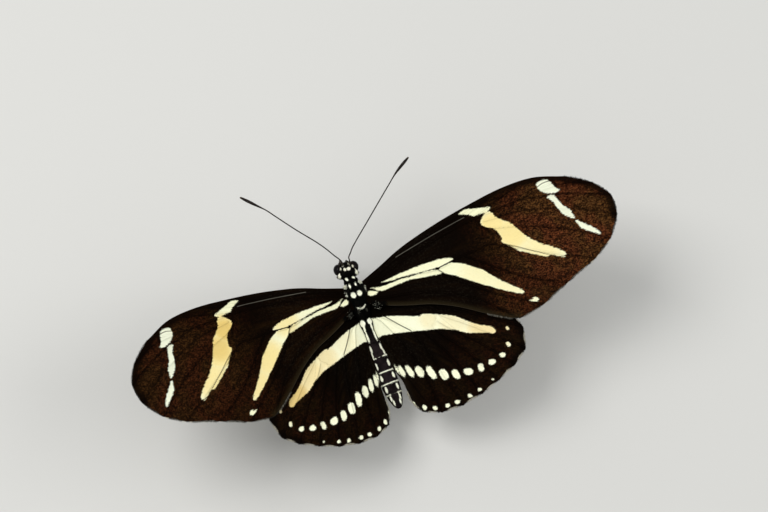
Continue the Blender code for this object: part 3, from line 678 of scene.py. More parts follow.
palp_finish = cuticle_finish("palp_cuticle", (0.005, 0.004, 0.0035), (0.014, 0.011, 0.009), 0.6)
for side_name, side in SIDES.items():
    line = smooth_line([(side * out, -station, height) for out, station, height in PALP_LINE], 0.06)
    radii = np.interp(np.linspace(0, 3, len(line)), range(4), PALP_RADII)
    bm = bmesh.new()
    swept(bm, line, radii, 16, [0.2 * eased(k / len(line), 0.1, 0.3) for k in range(len(line))])
    palp = piece_from(bm, f"{side_name}_palp", palp_finish)
    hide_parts(f"palp_{side_name}")
    tufts = []
    for k in range(PALP_HAIRS):
        share = chance.uniform(0.05, 0.93)
        place = min(len(line) - 2, int(share * len(line)))
        along = Vector(line[place + 1] - line[place]).normalized()
        turn = chance.uniform(0.0, math.tau)
        out = along.orthogonal().normalized()
        out.rotate(Matrix.Rotation(turn, 3, along))
        ahead = (along * 0.8 + out * chance.uniform(0.35, 0.8)).normalized()
        root = Vector(line[place]) + out * radii[place] * 0.85
        size = 0.36 * (1.0 - 0.45 * share) * chance.uniform(0.7, 1.2)
        pale_tuft = share < 0.35 and chance.random() < 0.2 + 0.4 * (out.x * side > 0.3)
        home = (0.05 + 0.9 * share, turn / 7.0)
        tufts.append((root, ahead, along.cross(out), out, size, 0.06, home, 0.3 if pale_tuft else -0.5))
    hair_piece(f"{side_name}_palp_hair", tufts, hair_finish)

line = [(0.0, -6.6, -1.05), (0.0, -6.72, -1.45)]
radii = [0.16, 0.15]
steps = round(TONGUE_TURNS * TONGUE_STEPS)
for k in range(steps + 1):
    angle = TONGUE_START - math.tau * k / TONGUE_STEPS
    reach = TONGUE_OUTER - (TONGUE_OUTER - TONGUE_INNER) * (k / steps) ** 0.92
    station = TONGUE_CENTRE[0] + reach * math.cos(angle)
    line.append((0.0, -station, TONGUE_CENTRE[1] + reach * math.sin(angle)))
    radii.append(TONGUE_RADIUS * (1.2 - 0.55 * k / steps) * (1.0 - 0.06 * (k % 2)))
bm = bmesh.new()
for side in SIDES.values():
    half = [(side * 0.06, y, z) for _, y, z in line]
    swept(bm, half, radii, 12, [0.25 * (k % 4 == 0) for k in range(len(line))])
tongue_finish = cuticle_finish("tongue_cuticle", (0.016, 0.01, 0.007), (0.05, 0.03, 0.018), 0.32)
tongue = piece_from(bm, "tongue", tongue_finish)
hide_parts("proboscis")

# Legs: four thin walking legs of dark cuticle with spurred shins and five-jointed feet, and the
# two small front legs that this family folds under the chest. Each joint is its own hard tube,
# and the chest's hair goes on over the first one.
WALKING_LEGS = {
    "midleg": (0.9, [(4.3, -1.7, 6.1), (6.4, -2.8, 1.5), (7.5, -3.4, 0.11), (9.6, -4.4, 0.085)]),
    "hindleg": (-1.1, [(4.1, 4.7, 6.0), (6.0, 8.5, 1.5), (6.8, 9.9, 0.11), (8.2, 12.3, 0.085)]),
}
LEG_ANGLE = math.radians(38.0)
FORELEG_LINE = [(0.78, 3.35, -2.35), (0.52, 4.4, -2.4), (0.44, 5.3, -2.08)]
FORELEG_STATION = 2.5
FORELEG_ANGLE = math.radians(32.0)
HIP_HAIRS = 190  # blades of hair on each leg's first joint
SHIN_SPINES = 26
FOOT_SPINES = 30
JOINT_SHARES = [0.0, 0.04, 0.12, 0.3, 0.55, 0.8, 0.92, 0.98, 1.0]  # rings along one tube of a leg

leg_finish = cuticle_finish("leg_cuticle", (0.018, 0.013, 0.01), (0.055, 0.042, 0.03), 0.5)


def leg_joint(bm, start, end, first, middle, last, sides=12, pale=0.0):
    """One hard tube of a leg, swelling in its middle, with rounded ends."""
    rear_half = [first * 0.55, first * 0.9, first, (first + middle) / 2, middle]
    front_half = [(middle + last) / 2, last, last * 0.9, last * 0.5]
    swept(bm, [start.lerp(end, s) for s in JOINT_SHARES], rear_half + front_half, sides, [pale] * 9)


def spine(bm, root, direction, length, radius):
    """A stiff little spine."""
    turn = direction.to_track_quat("Z", "Y").to_matrix().to_4x4()
    place = Matrix.Translation(root + direction.normalized() * length / 2) @ turn
    bmesh.ops.create_cone(
        bm, cap_ends=True, segments=5, radius1=radius, radius2=radius * 0.15, depth=length, matrix=place,
    )


def hip_hair(name, start, end, thick, matrix):
    """Short dark hair round a leg's first joint, leaning towards the leg's far end."""
    along = (end - start).normalized()
    tufts = []
    for k in range(HIP_HAIRS):
        share = chance.uniform(0.1, 0.85)
        turn = chance.uniform(0.0, math.tau)
        out = Matrix.Rotation(turn, 3, along) @ along.orthogonal().normalized()
        ahead = (along + out * chance.uniform(0.15, 0.4)).normalized()
        root = start.lerp(end, share) + out * thick * (0.95 - 0.3 * eased(share, 0.5, 1.0))
        size = 0.3 * chance.uniform(0.7, 1.2)
        grey = -0.04 if chance.random() < 0.2 else -0.5
        home = (0.05 + 0.9 * share, 0.05 + turn / 7.0)
        tufts.append((root, ahead, along.cross(out), out, size, 0.085, home, grey))
    hair_piece(name, tufts, hair_finish, matrix=matrix)


for side_name, side in SIDES.items():
    for pair, (station, joints) in WALKING_LEGS.items():
        wide = trunk_section(station)[0]
        away = Vector((side * math.sin(LEG_ANGLE), 0.0, -math.cos(LEG_ANGLE)))
        hip = BODY @ (Vector((0.0, -station, 0.0)) + away * (wide - 0.25))
        coxa = BODY @ (Vector((0.0, -station, 0.0)) + away * (wide + 0.95))
        knee, ankle, sole, toe = (
            Vector((side * out, back + THORAX_CENTRE.y, height)) for out, back, height in joints
        )
        shin = (ankle - knee).normalized()
        bm = bmesh.new()
        leg_joint(bm, hip, coxa, 0.42, 0.4, 0.26, 16)
        leg_joint(bm, coxa - (knee - coxa).normalized() * 0.1, knee, 0.2, 0.22, 0.15, 14)
        leg_joint(bm, knee - shin * 0.06, ankle, 0.14, 0.13, 0.12, 14, 0.15)
        foot = [ankle, ankle.lerp(sole, 0.75), sole, sole.lerp(toe, 0.34), sole.lerp(toe, 0.68), toe]
        for start, end in zip(foot, foot[1:]):
            leg_joint(bm, start, end, 0.085, 0.075, 0.09, 10, 0.1)
        run = (toe - sole).normalized()
        for way in (-1, 1):
            claw = run.cross(UP) * way
            bend = toe + run * 0.18 + claw * 0.1 + UP * 0.03
            point = toe + run * 0.34 + claw * 0.13 - UP * 0.05
            hook = smooth_line([toe[:], bend[:], point[:]], 0.05)
            swept(bm, hook, np.linspace(0.045, 0.012, len(hook)), 8)
        for k in range(SHIN_SPINES):
            share = 0.12 + 0.86 * k / (SHIN_SPINES - 1)
            around = Matrix.Rotation(chance.uniform(0, math.tau), 3, shin)
            off = around @ (ankle - knee).orthogonal().normalized()
            spine(bm, knee.lerp(ankle, share) + off * 0.11, off + shin * 1.4, 0.28, 0.022)
        for way in (-1, 1):
            off = (run.cross(UP) * way).normalized()
            spine(bm, ankle + off * 0.06, (sole - ankle).normalized() + off * 0.45, 0.6, 0.035)
        for k in range(FOOT_SPINES):
            start, end = foot[k % 5], foot[k % 5 + 1]
            along = (end - start).normalized()
            off = Matrix.Rotation(chance.uniform(0, math.tau), 3, along) @ along.orthogonal().normalized()
            off.z = -off.z if off.z < -0.3 else off.z
            spine(bm, start.lerp(end, chance.uniform(0.2, 0.95)) + off * 0.06, off + along * 1.6, 0.17, 0.014)
        leg = piece_from(bm, f"{side_name}_{pair}", leg_finish, Matrix.Identity(4))
        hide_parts(f"{pair}_{side_name}")
        hip_hair(f"{side_name}_{pair}_hip_hair", hip, coxa, 0.4, Matrix.Identity(4))
    away = Vector((side * math.sin(FORELEG_ANGLE), 0.0, -math.cos(FORELEG_ANGLE)))
    hip, coxa = (Vector((0.0, -FORELEG_STATION, 0.0)) + away * reach for reach in (1.25, 2.35))
    bends = [Vector((side * out, -station, height)) for out, station, height in FORELEG_LINE]
    bm = bmesh.new()
    leg_joint(bm, hip, coxa, 0.34, 0.32, 0.22, 14)
    leg_joint(bm, coxa, bends[0], 0.2, 0.2, 0.16)
    leg_joint(bm, bends[0], bends[1], 0.16, 0.15, 0.12, 12, 0.2)
    leg_joint(bm, bends[1], bends[2], 0.12, 0.13, 0.07, 12, 0.2)
    foreleg = piece_from(bm, f"{side_name}_foreleg", leg_finish)
    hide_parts(f"foreleg_{side_name}")
    hip_hair(f"{side_name}_foreleg_hip_hair", hip, coxa, 0.32, BODY)

# Forewings: each is a thin sheet stiffened by raised veins and covered on both faces by rows of
# tiny flat scales. The flat shape is spread over its outline, bent up from the hinge, and each
# cream mark is laid down as a distance from its edge.
FOREWING_VEINS = [
    [(0.2, 1.2), (3.0, 2.1), (6.0, 3.2), (12.0, 4.8), (18.0, 6.2), (22.5, 7.1)],
    [(0.2, 0.8), (3.0, 1.4), (6.0, 2.4), (12.0, 3.7), (18.0, 4.7), (22.2, 5.1)],
    [(14.5, 4.15), (20.0, 5.9), (25.0, 7.3)],
    [(19.5, 4.9), (25.0, 6.2), (30.0, 7.4)],
    [(22.2, 5.1), (28.0, 5.25), (33.0, 5.5), (36.5, 6.1)],
    [(33.0, 5.5), (38.0, 5.1), (42.2, 3.6)],
    [(29.5, 5.3), (37.0, 3.6), (44.15, 0.6)],
    [(23.1, 4.1), (30.0, 3.3), (37.0, 0.9), (43.7, -2.8)],
    [(23.8, 2.5), (28.0, 1.2), (35.0, -2.0), (41.1, -6.1)],
    [(22.3, 0.2), (28.0, -3.0), (33.5, -6.2), (37.5, -8.3)],
    [
        (0.2, 0.2), (3.0, 0.4), (8.0, 0.1), (12.6, -0.6), (17.5, 0.0), (22.3, 0.2), (23.6, 1.4),
        (22.5, 3.2), (22.0, 5.1),
    ],
    [(17.5, 0.0), (21.0, -3.2), (26.0, -7.4), (31.5, -10.5)],
    [(12.6, -0.6), (15.4, -3.9), (20.0, -8.0), (26.5, -12.4)],
    [(0.2, -0.9), (2.1, -1.75), (7.7, -3.05), (13.5, -5.35), (17.3, -8.1), (19.4, -10.4), (21.8, -13.15)],
]
FOREWING_MARKS = [
    [
        (3.13, 0.73), (3.86, 0.8), (4.9, 0.88), (6.56, 1.02), (9.9, 1.06), (12.0, 0.96), (13.9, 0.8),
        (15.2, 0.46), (15.75, 0.05), (14.9, -0.24), (12.4, -0.38), (7.6, 0.18), (6.26, 0.31),
        (4.68, 0.37), (3.59, 0.53),
    ],
    [
        (1.02, 0.39), (1.12, 0.52), (1.93, 0.3), (2.56, 0.13), (3.52, 0.03), (4.5, 0.03), (6.1, 0.05),
        (7.7, -0.08), (12.4, -0.58), (13.1, -1.5), (10.3, -1.15), (7.7, -0.66), (5.84, -0.65),
        (4.23, -0.65), (3.05, -0.73), (2.27, -0.55), (1.52, 0.03),
    ],
    [
        (12.7, -0.8), (14.8, -0.35), (15.9, -0.75), (17.2, -1.5), (18.5, -2.6), (19.5, -3.35),
        (20.3, -4.55), (21.6, -6.2), (23.0, -7.7), (24.2, -8.95), (24.3, -9.48), (23.8, -9.5),
        (22.3, -8.6), (20.6, -7.4), (18.25, -5.55), (16.4, -4.0), (14.6, -2.5), (13.3, -1.6),
    ],
    [(24.5, -10.9), (25.15, -11.0), (25.5, -10.67), (25.95, -11.05), (26.0, -11.55), (25.3, -11.55)],
    [
        (19.6, 6.65), (20.4, 7.05), (21.4, 7.05), (22.2, 6.72), (23.6, 6.35), (25.05, 5.92),
        (24.1, 5.42), (22.9, 5.42), (21.9, 5.45), (21.3, 5.85), (20.4, 6.35),
    ],
    [
        (22.4, 4.0), (23.0, 4.75), (24.3, 5.4), (24.9, 5.05), (25.1, 4.2), (26.1, 3.05), (27.2, 1.85),
        (27.75, 0.75), (28.6, -0.9), (29.75, -2.35), (31.95, -4.25), (33.2, -5.45), (33.25, -6.12),
        (32.6, -6.2), (31.0, -5.25), (30.35, -5.35), (29.4, -4.75), (28.5, -4.15), (27.2, -3.25),
        (26.2, -2.45), (25.75, -1.75), (24.6, -0.6), (24.3, -0.2), (24.62, 0.4), (24.45, 1.3),
        (24.0, 2.4), (23.25, 2.75), (22.6, 3.4),
    ],
    [
        (33.6, 6.7), (34.6, 7.0), (35.6, 6.7), (36.0, 6.0), (36.3, 5.1), (36.75, 4.35), (35.8, 4.2),
        (34.8, 4.5), (34.05, 5.0), (33.55, 5.85),
    ],
    [
        (34.4, 4.1), (35.5, 4.05), (35.8, 3.1), (36.2, 1.9), (36.8, 1.0), (37.15, 0.1), (37.0, -0.95),
        (36.6, -0.65), (35.85, 0.05), (35.35, 1.0), (35.1, 2.2), (34.75, 3.3),
    ],
    [
        (37.05, -1.3), (37.75, -1.9), (38.6, -2.7), (39.5, -3.8), (40.0, -4.65), (39.77, -4.9),
        (38.9, -4.3), (37.95, -3.45), (37.35, -2.6),
    ],
    [
        (0.2, -0.17), (0.45, 0.13), (1.08, -0.05), (2.0, -0.59), (1.76, -0.78), (1.13, -0.86),
        (0.53, -0.86), (0.26, -0.55),
    ],
]
MARK_SHRINK = 0.03

# Thin dark lines over the cream marks: half width, then the line
FOREWING_CROSSED = [
    (-0.02, [(23.9, 2.4), (27.4, 1.4)]), (0.03, [(33.4, 6.1), (34.6, 6.45), (35.8, 6.4)]),
    (0.05, [(24.9, -0.9), (26.1, -1.72), (28.3, -3.35), (31.2, -5.4)]),
    (0.05, [(12.5, -0.5), (13.35, -1.6)]), (0.05, [(12.6, -0.55), (14.9, -0.28), (16.0, -0.1)]),
]

# Soft patches: span, chord, size, strength
FOREWING_BUFF = {
    "left": [
        (24.2, 3.0, 2.6, 1.7), (26.5, 0.5, 3.2, 1.5), (30.0, -3.5, 4.0, 0.8), (18.5, -4.0, 3.5, 0.9),
        (22.0, -7.5, 3.5, 0.8), (13.0, 0.5, 3.0, 0.7),
    ],
    "right": [
        (24.2, 3.0, 2.4, 1.0), (26.5, 0.5, 3.2, 0.9), (30.0, -3.5, 4.0, 0.6), (18.5, -4.0, 3.5, 0.4),
        (22.0, -7.5, 3.5, 0.4),
    ],
}
# Reddish-brown scale patches; the right forewing's much stronger share is painted glint, light glancing off
# its outer half
FOREWING_RUST_AND_GLINT = {
    "left": [(35.0, -1.5, 13.5, 0.42), (25.0, -9.5, 6.0, 0.25), (10.0, -2.0, 9.0, 0.045)],
    "right": [(36.0, -1.5, 13.0, 1.0), (25.0, -9.5, 6.0, 0.6)],
}
# Painted shade: a soft patch over the right forewing's inner half keeps the brown streaks off, leaving the
# darker ground
FOREWING_PAINTED_SHADE = {"left": [], "right": [(9.0, 1.0, 17.0, 0.6)]}
FOREWING = dict(
    kind="forewing", hinge=(1.6, 1.5, 1.0), rise=math.radians(21.7), rise_change=math.radians(0.119),
    incidence=math.radians(13.6), sweep={"left": math.radians(-1.7), "right": math.radians(1.7)},
    tuck=0.0, slide={"left": 0.0, "right": 0.0}, scallop=0.16, columns=230, rows=150,
    base=[(-0.35, 1.9), (-0.55, 0.95), (-0.6, 0.0), (-0.55, -0.95), (-0.35, -1.9)],
    front=[(4.0, 3.4), (7.0, 4.55), (10.0, 5.45), (16.0, 6.75), (22.0, 7.65), (28.0, 8.25), (33.5, 7.95)],
    vein_ends=[
        (38.4, 6.25), (42.2, 3.6), (44.15, 0.6), (43.7, -2.8), (41.1, -6.1), (37.5, -8.3),
        (31.5, -10.5), (26.5, -12.4), (21.8, -13.15),
    ],
    rear=[(19.7, -12.2), (17.2, -10.6), (13.1, -7.7), (9.3, -5.75), (5.6, -4.5), (2.6, -3.35)],
    veins=FOREWING_VEINS, marks=FOREWING_MARKS, dots=[], crossed=FOREWING_CROSSED,
    # Painted sheen: a thin pale line under the front edge
    sheen_line=[(7.0, 3.8), (10.5, 4.4), (14.2, 5.05), (18.5, 5.65), (20.3, 5.85)],
    crimson=[[(0.6, 1.0), (2.0, 1.5), (3.4, 1.7), (2.0, 1.2)]],
    buff=FOREWING_BUFF, rust_and_glint=FOREWING_RUST_AND_GLINT, painted_shade=FOREWING_PAINTED_SHADE,
    grey=dict.fromkeys(SIDES, [(12.0, -5.0, 7.0, 1.0), (10.0, 4.0, 6.0, 1.0)]),
)
TUCK_WIDTH = 3.0  # how far out and how far back the root dips, and how far out the rear slides
TUCK_CHORD = 6.0
SLIDE_WIDTH = 14.0
UNWRAP_SIZE = 50.0  # millimetres of flat wing across the whole unwrap
ROOT_BEHIND = 2.0  # the veins fan from a point this far inside the hinge
FLUTE_DEPTH = 0.14
WAVE_HEIGHT = 0.06
WAVE_RATE = 0.55  # radians a millimetre
WAVE_REACH = 12.0  # the waves are at full height from this span
SHEET_THICKNESS = 0.32
SHEET_SHARE = 0.45  # thickness between the veins
VEIN_REACH = 0.3
GREY_SCALES = (0.3, 0.27, 0.2)
SHEEN = (0.3, 0.28, 0.22)
PALE_HEM = (0.2, 0.17, 0.12)
TIP_CREAM = (0.8, 0.82, 0.63)
CRIMSON = (0.42, 0.02, 0.015)


def wing_point(wing, side_name, span, chord, lift=0.0):
    """Bend a point of the flat wing into its place on the body."""
    sweep = wing["sweep"][side_name]
    outwards = span * math.cos(sweep) - chord * math.sin(sweep)
    forwards = span * math.sin(sweep) + chord * math.cos(sweep)
    change = wing["rise_change"]
    rise = wing["rise"] + change * outwards
    out, station, height = wing["hinge"]
    out += (math.sin(rise) - math.sin(wing["rise"])) / change
    height += (math.cos(wing["rise"]) - math.cos(rise)) / change
    station += forwards * math.cos(wing["incidence"])
    height -= forwards * math.sin(wing["incidence"])
    behind = min(1.0, max(0.0, -forwards / TUCK_CHORD))
    height -= wing["tuck"] * max(0.0, 1.0 - outwards / TUCK_WIDTH) ** 2 * behind
    out += wing["slide"][side_name] * behind * max(0.0, 1.0 - outwards / SLIDE_WIDTH)
    out -= lift * math.sin(rise)
    return Vector((SIDES[side_name] * out, -station, height + lift * math.cos(rise)))


def scalloped(wing):
    """Outer margin from its first vein end to its last, drawn in between the veins."""
    curve = np.array(smooth_line(wing["front"][-1:] + wing["vein_ends"] + wing["rear"][:1], 0.05))
    margin = []
    for start, end in zip(wing["vein_ends"], wing["vein_ends"][1:]):
        first = int(np.linalg.norm(curve - start, axis=1).argmin())
        last = int(np.linalg.norm(curve - end, axis=1).argmin())
        for place in range(first, last):
            along = curve[place + 1] - curve[place]
            inward = np.array((along[1], -along[0])) / np.linalg.norm(along)
            share = (place - first) / (last - first)
            margin.append(curve[place] + inward * wing["scallop"] * math.sin(math.pi * share))
    return np.array(margin + [curve[last]])


def along_line(line, shares):
    """Points at shares of a line's length."""
    line = np.array(line)
    run = np.concatenate([[0.0], np.cumsum(np.linalg.norm(np.diff(line, axis=0), axis=1))])
    return np.stack([np.interp(shares * run[-1], run, line[:, k]) for k in (0, 1)], 1)


def spread_flat(wing, shares):
    """Lay a square grid over the flat wing: first share from hinge to margin, second from rear to front."""
    base = smooth_line(wing["base"], 0.1)
    front = smooth_line(wing["base"][:1] + wing["front"] + wing["vein_ends"][:1], 0.2)
    rear = smooth_line(wing["vein_ends"][-1:] + wing["rear"] + wing["base"][-1:], 0.2)
    outer = scalloped(wing)
    u, v = shares[:, :1], shares[:, 1:]
    low = along_line(rear[::-1], shares[:, 0])
    high = along_line(front, shares[:, 0])
    inner = along_line(base[::-1], shares[:, 1])
    edge = along_line(outer[::-1], shares[:, 1])
    corners = (1 - u) * ((1 - v) * base[-1] + v * base[0]) + u * ((1 - v) * outer[-1] + v * outer[0])
    return (1 - v) * low + v * high + (1 - u) * inner + u * edge - corners


def line_distance(points, line, closed=False):
    """Least distance from each point to a line, and how often a ray from it crosses the line."""
    starts = np.array(line)
    ends = np.roll(starts, -1, axis=0)
    if not closed:
        starts, ends = starts[:-1], ends[:-1]
    nearest = np.full(len(points), 1e9)
    crossings = np.zeros(len(points), int)
    for start, end in zip(starts, ends):
        run = end - start
        length = max(1e-12, float(run @ run))
        share = np.clip(((points - start) @ run) / length, 0.0, 1.0)
        nearest = np.minimum(nearest, np.linalg.norm(points - start - share[:, None] * run, axis=1))
        spans = (start[1] > points[:, 1]) != (end[1] > points[:, 1])
        rise = end[1] - start[1] if abs(end[1] - start[1]) > 1e-9 else 1e-9
        crossings += spans & (points[:, 0] < start[0] + (points[:, 1] - start[1]) * run[0] / rise)
    return nearest, crossings % 2 == 1


def inside_marks(points, marks):
    """Millimetres inside the nearest mark, or outside it where negative."""
    best = np.full(len(points), -3.0)
    for mark in marks:
        gap, within = line_distance(points, smooth_line(mark, 0.25, closed=True), closed=True)
        best = np.maximum(best, np.where(within, gap, -gap) - MARK_SHRINK)
    return best


def off_lines(points, lines):
    """Least distance to any of several lines, past each one's own half width."""
    return np.min([line_distance(points, smooth_line(line, 0.5))[0] - half for half, line in lines], axis=0)


def nearest_line(points, lines):
    """Least distance to any of several lines."""
    return off_lines(points, [(0.0, line) for line in lines])


def cream_marks(points, wing):
    """Millimetres inside the nearest mark or squarish dot, or outside it where negative."""
    best = inside_marks(points, wing["marks"])
    for span, chord, across, along, tilt in wing["dots"]:
        turn = math.radians(tilt)
        off = points - (span, chord)
        sideways = (off[:, 0] * math.cos(turn) + off[:, 1] * math.sin(turn)) / (across * 0.88)
        lengthways = (off[:, 1] * math.cos(turn) - off[:, 0] * math.sin(turn)) / (along * 0.88)
        reach = (np.abs(sideways) ** 2.5 + np.abs(lengthways) ** 2.5) ** 0.4
        best = np.maximum(best, min(across, along) * (1.0 - reach))
    return best


def soft_spots(points, spots):
    """How near each point is to soft round patches, from 0 to 1."""
    share = np.zeros(len(points))
    for span, chord, size, strength in spots:
        reach = np.hypot(points[:, 0] - span, points[:, 1] - chord) / size
        share = np.maximum(share, strength * np.exp(-(reach**4)))
    return share


def root_rays(tree, along, around):
    """Coordinates that run along the lines from the wing's root and across them."""
    parts = {0: product(tree, "reach", along), 1: product(tree, "bearing", around)}
    return add_node(tree, "CombineXYZ", parts).outputs[0]


def tinted(colour, shares):
    """A colour with each of its parts times a share."""
    return tuple(part * share for part, share in zip(colour, shares))


def wing_finish(name, upper, ground, brown, rust_and_glint, strip, pale, buff):
    """Wing scales: dark ground with reddish-brown and grey flecks, partly painted glint, a painted sheen line
    and painted shade, cream marks with scaly edges, raised veins.
    """
    finish, tree, shader = new_finish(name, 0.6, 0.008)
    unwrap = add_node(tree, "UVMap", uv_map="flat_wing").outputs[0]
    place = add_node(tree, "VectorMath", {0: unwrap, "Scale": UNWRAP_SIZE}, operation="SCALE").outputs[0]
    rows = placed_group(tree, scale_rows, Vector=place, Across=10.0, Along=6.0)
    coarse = placed_group(tree, scale_rows, Vector=place, Across=5.6, Along=4.4)
    flecks = sums(tree, "MULTIPLY_ADD", coarse["Tone"], 0.35, product(tree, rows["Tone"], 0.65))
    wide_clouds = clouds(tree, place, 0.22, 3.0)
    small_clouds = clouds(tree, place, 1.3, 3.0, 0.6)
    streaks = clouds(tree, root_rays(tree, 0.12, 22.0), 1.0, 3.0, 0.6)
    # The brown streaks fade out under the painted shade patch
    brown_share = product(
        tree, between(tree, streaks, 0.38, 0.72), between(tree, "vein_gap", 0.15, 1.1),
        between(tree, wide_clouds, 0.3, 0.6, 0.35, 1.0), between(tree, "painted_shade", 0.0, 1.0, 1.0, 0.0),
    )
    # Reddish-brown flecks, partly painted glint where the right forewing carries more of them
    rust_and_glint_share = product(
        tree, "rust_and_glint", between(tree, flecks, 0.2, 1.0), between(tree, small_clouds, 0.32, 0.6, 0.25, 1.0),
        between(tree, "vein_gap", 0.03, 0.3, 0.38, 1.0), between(tree, "front_edge", 0.5, 1.7, 0.08, 1.0),
    )
    redder = tinted(rust_and_glint, (1.12, 0.78, 0.95))
    dark = layered(
        tree, ground, (brown_share, brown),
        (rust_and_glint_share, layered(tree, redder, (between(tree, wide_clouds, 0.4, 0.6), rust_and_glint))),
        (product(tree, between(tree, rows["Tone"], 0.8, 1.0, 0.0, 0.025), "grey"), GREY_SCALES),
        # Painted sheen along the thin line under the front edge
        (between(tree, "sheen_line", 0.1, 0.0, 0.0, 0.4), SHEEN),
        (between(tree, "rear_line", 1.0, 0.1, 0.0, 0.55), strip),
        (between(tree, "rear_line", 0.12, 0.0, 0.0, 0.12), PALE_HEM),
    )
    warm = sums(tree, "ADD", "buff", sums(tree, "MULTIPLY_ADD", small_clouds, 0.24, -0.12))
    cream = layered(
        tree, pale, (between(tree, warm, 0.0, 1.0), buff),
        (between(tree, warm, 1.0, 1.7), tinted(buff, (0.86, 0.76, 0.55))),
        (between(tree, "reach", 35.9, 36.3), TIP_CREAM),
        (between(tree, flecks, 0.5, 0.05, 0.0, 0.16), tinted(buff, (0.62, 0.62, 0.62))),
    )
    feather = sums(tree, "SUBTRACT", clouds(tree, root_rays(tree, 0.5, 210.0), 1.0, 1.0), 0.5)
    feather = product(tree, feather, between(tree, "reach", 19.0, 36.0, 0.25, 1.25))
    inside = sums(tree, "MULTIPLY_ADD", feather, 0.5, "cream")
    edge = placed_group(
        tree, mark_edge, Inside=inside, Tone=rows["Tone"], Vector=place, Ragged=0.16, Softness=0.07,
    )
    uncrossed = sums(tree, "SUBTRACT", 1.0, between(tree, "crossed", 0.09, 0.01, 0.0, 0.85))
    colour = layered(tree, dark, (product(tree, edge["Mask"], uncrossed), cream))
    if not upper:
        colour = layered(tree, colour, (between(tree, "crimson", -0.05, 0.08), CRIMSON))
    ridge = between(tree, "vein_gap", 0.28, 0.0)
    height = sums(tree, "MULTIPLY_ADD", ridge, 1.5, product(tree, rows["Height"], 0.35))
    height = sums(tree, "MULTIPLY_ADD", coarse["Height"], 0.25, height)
    coloured(tree, shader, colour, height, 0.00006)
    return finish


def flat_home(span, chord):
    """Place of a point of the flat wing on the unwrap."""
    return span / UNWRAP_SIZE + 0.02, chord / UNWRAP_SIZE + 0.5


def make_wing(wing, side_name, upper, under):
    """One wing as a bent grid with its own values, thickened most along its veins."""
    bm = bmesh.new()
    bmesh.ops.create_grid(bm, x_segments=wing["columns"], y_segments=wing["rows"], size=0.5)
    flat = spread_flat(wing, np.array([(v.co.x + 0.5, v.co.y + 0.5) for v in bm.verts]))
    spans, chords = flat.T
    vein_gap = nearest_line(flat, wing["veins"])
    flutes = FLUTE_DEPTH * (1.0 - np.exp(-(vein_gap**2)))
    waves = WAVE_HEIGHT * np.sin(spans * WAVE_RATE + 0.4 * np.sin(chords * 0.5))
    waves = waves * np.minimum(1.0, spans / WAVE_REACH)
    for v, (span, chord), lift in zip(bm.verts, flat, waves - flutes):
        v.co = BODY @ wing_point(wing, side_name, span, chord, float(lift)) * MM
    bm.normal_update()
    if sum(face.normal.z for face in bm.faces) < 0.0:
        bmesh.ops.reverse_faces(bm, faces=bm.faces)
    layer = bm.loops.layers.uv.new("flat_wing")
    for face in bm.faces:
        for corner in face.loops:
            corner[layer].uv = flat_home(*flat[corner.vert.index])
    name = f"{side_name}_{wing['kind']}"
    mesh = mesh_from(bm, name)
    values = {"cream": cream_marks(flat, wing), "vein_gap": vein_gap}
    for patch in ("buff", "rust_and_glint", "painted_shade", "grey"):
        values[patch] = soft_spots(flat, wing[patch][side_name])
    values["sheen_line"] = nearest_line(flat, [wing["sheen_line"]])
    values["rear_line"] = nearest_line(flat, [wing["vein_ends"][-1:] + wing["rear"]])
    values["front_edge"] = nearest_line(flat, [wing["base"][:1] + wing["front"] + wing["vein_ends"][:4]])
    values["reach"] = np.hypot(spans + ROOT_BEHIND, chords)
    values["bearing"] = np.arctan2(chords, spans + ROOT_BEHIND)
    values["crossed"] = off_lines(flat, wing["crossed"])
    values["crimson"] = inside_marks(flat, wing["crimson"])
    for value_name, numbers in values.items():
        give_values(mesh, value_name, numbers)
    piece = laid_out(mesh, name, upper)
    mesh.materials.append(under)
    thick = piece.vertex_groups.new(name="vein")
    weights = np.round(np.clip(1.0 - vein_gap / VEIN_REACH, 0.0, 1.0), 1)
    for weight in np.unique(weights):
        thick.add(np.nonzero(weights == weight)[0].tolist(), float(weight), "REPLACE")
    sheet = piece.modifiers.new("two_faces", "SOLIDIFY")
    sheet.thickness = SHEET_THICKNESS * MM
    sheet.offset = 0.0
    sheet.vertex_group = thick.name
    sheet.thickness_vertex_group = SHEET_SHARE
    sheet.material_offset = 1
    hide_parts(f"{wing['kind']}_{side_name}")


upper_finish = wing_finish(
    "forewing_upper", True, (0.0022, 0.001, 0.0004), (0.0085, 0.0038, 0.0011), (0.145, 0.059, 0.0165),
    (0.022, 0.016, 0.007), (0.86, 0.85, 0.57), (0.86, 0.7, 0.3),
)
under_finish = wing_finish(
    "wing_under", False, (0.035, 0.025, 0.018), (0.07, 0.05, 0.034), (0.14, 0.085, 0.045),
    (0.09, 0.066, 0.044), (0.68, 0.64, 0.46), (0.66, 0.57, 0.36),
)
for side_name in SIDES:
    make_wing(FOREWING, side_name, upper_finish, under_finish)

# Shoulder flaps: a small domed lid of scaly cuticle covers the front of each forewing's hinge.
# Black hair with a few grey blades trails over the hinge and the wing's root, flat on the sheet.
FLAP_CENTRE = (1.5, -2.15, 0.85)
FLAP_HALF = (0.62, 0.95, 0.42)
ROOT_HAIRS = 150
FLAP_LEAN = Matrix.Rotation(math.radians(28.0), 3, "Y")

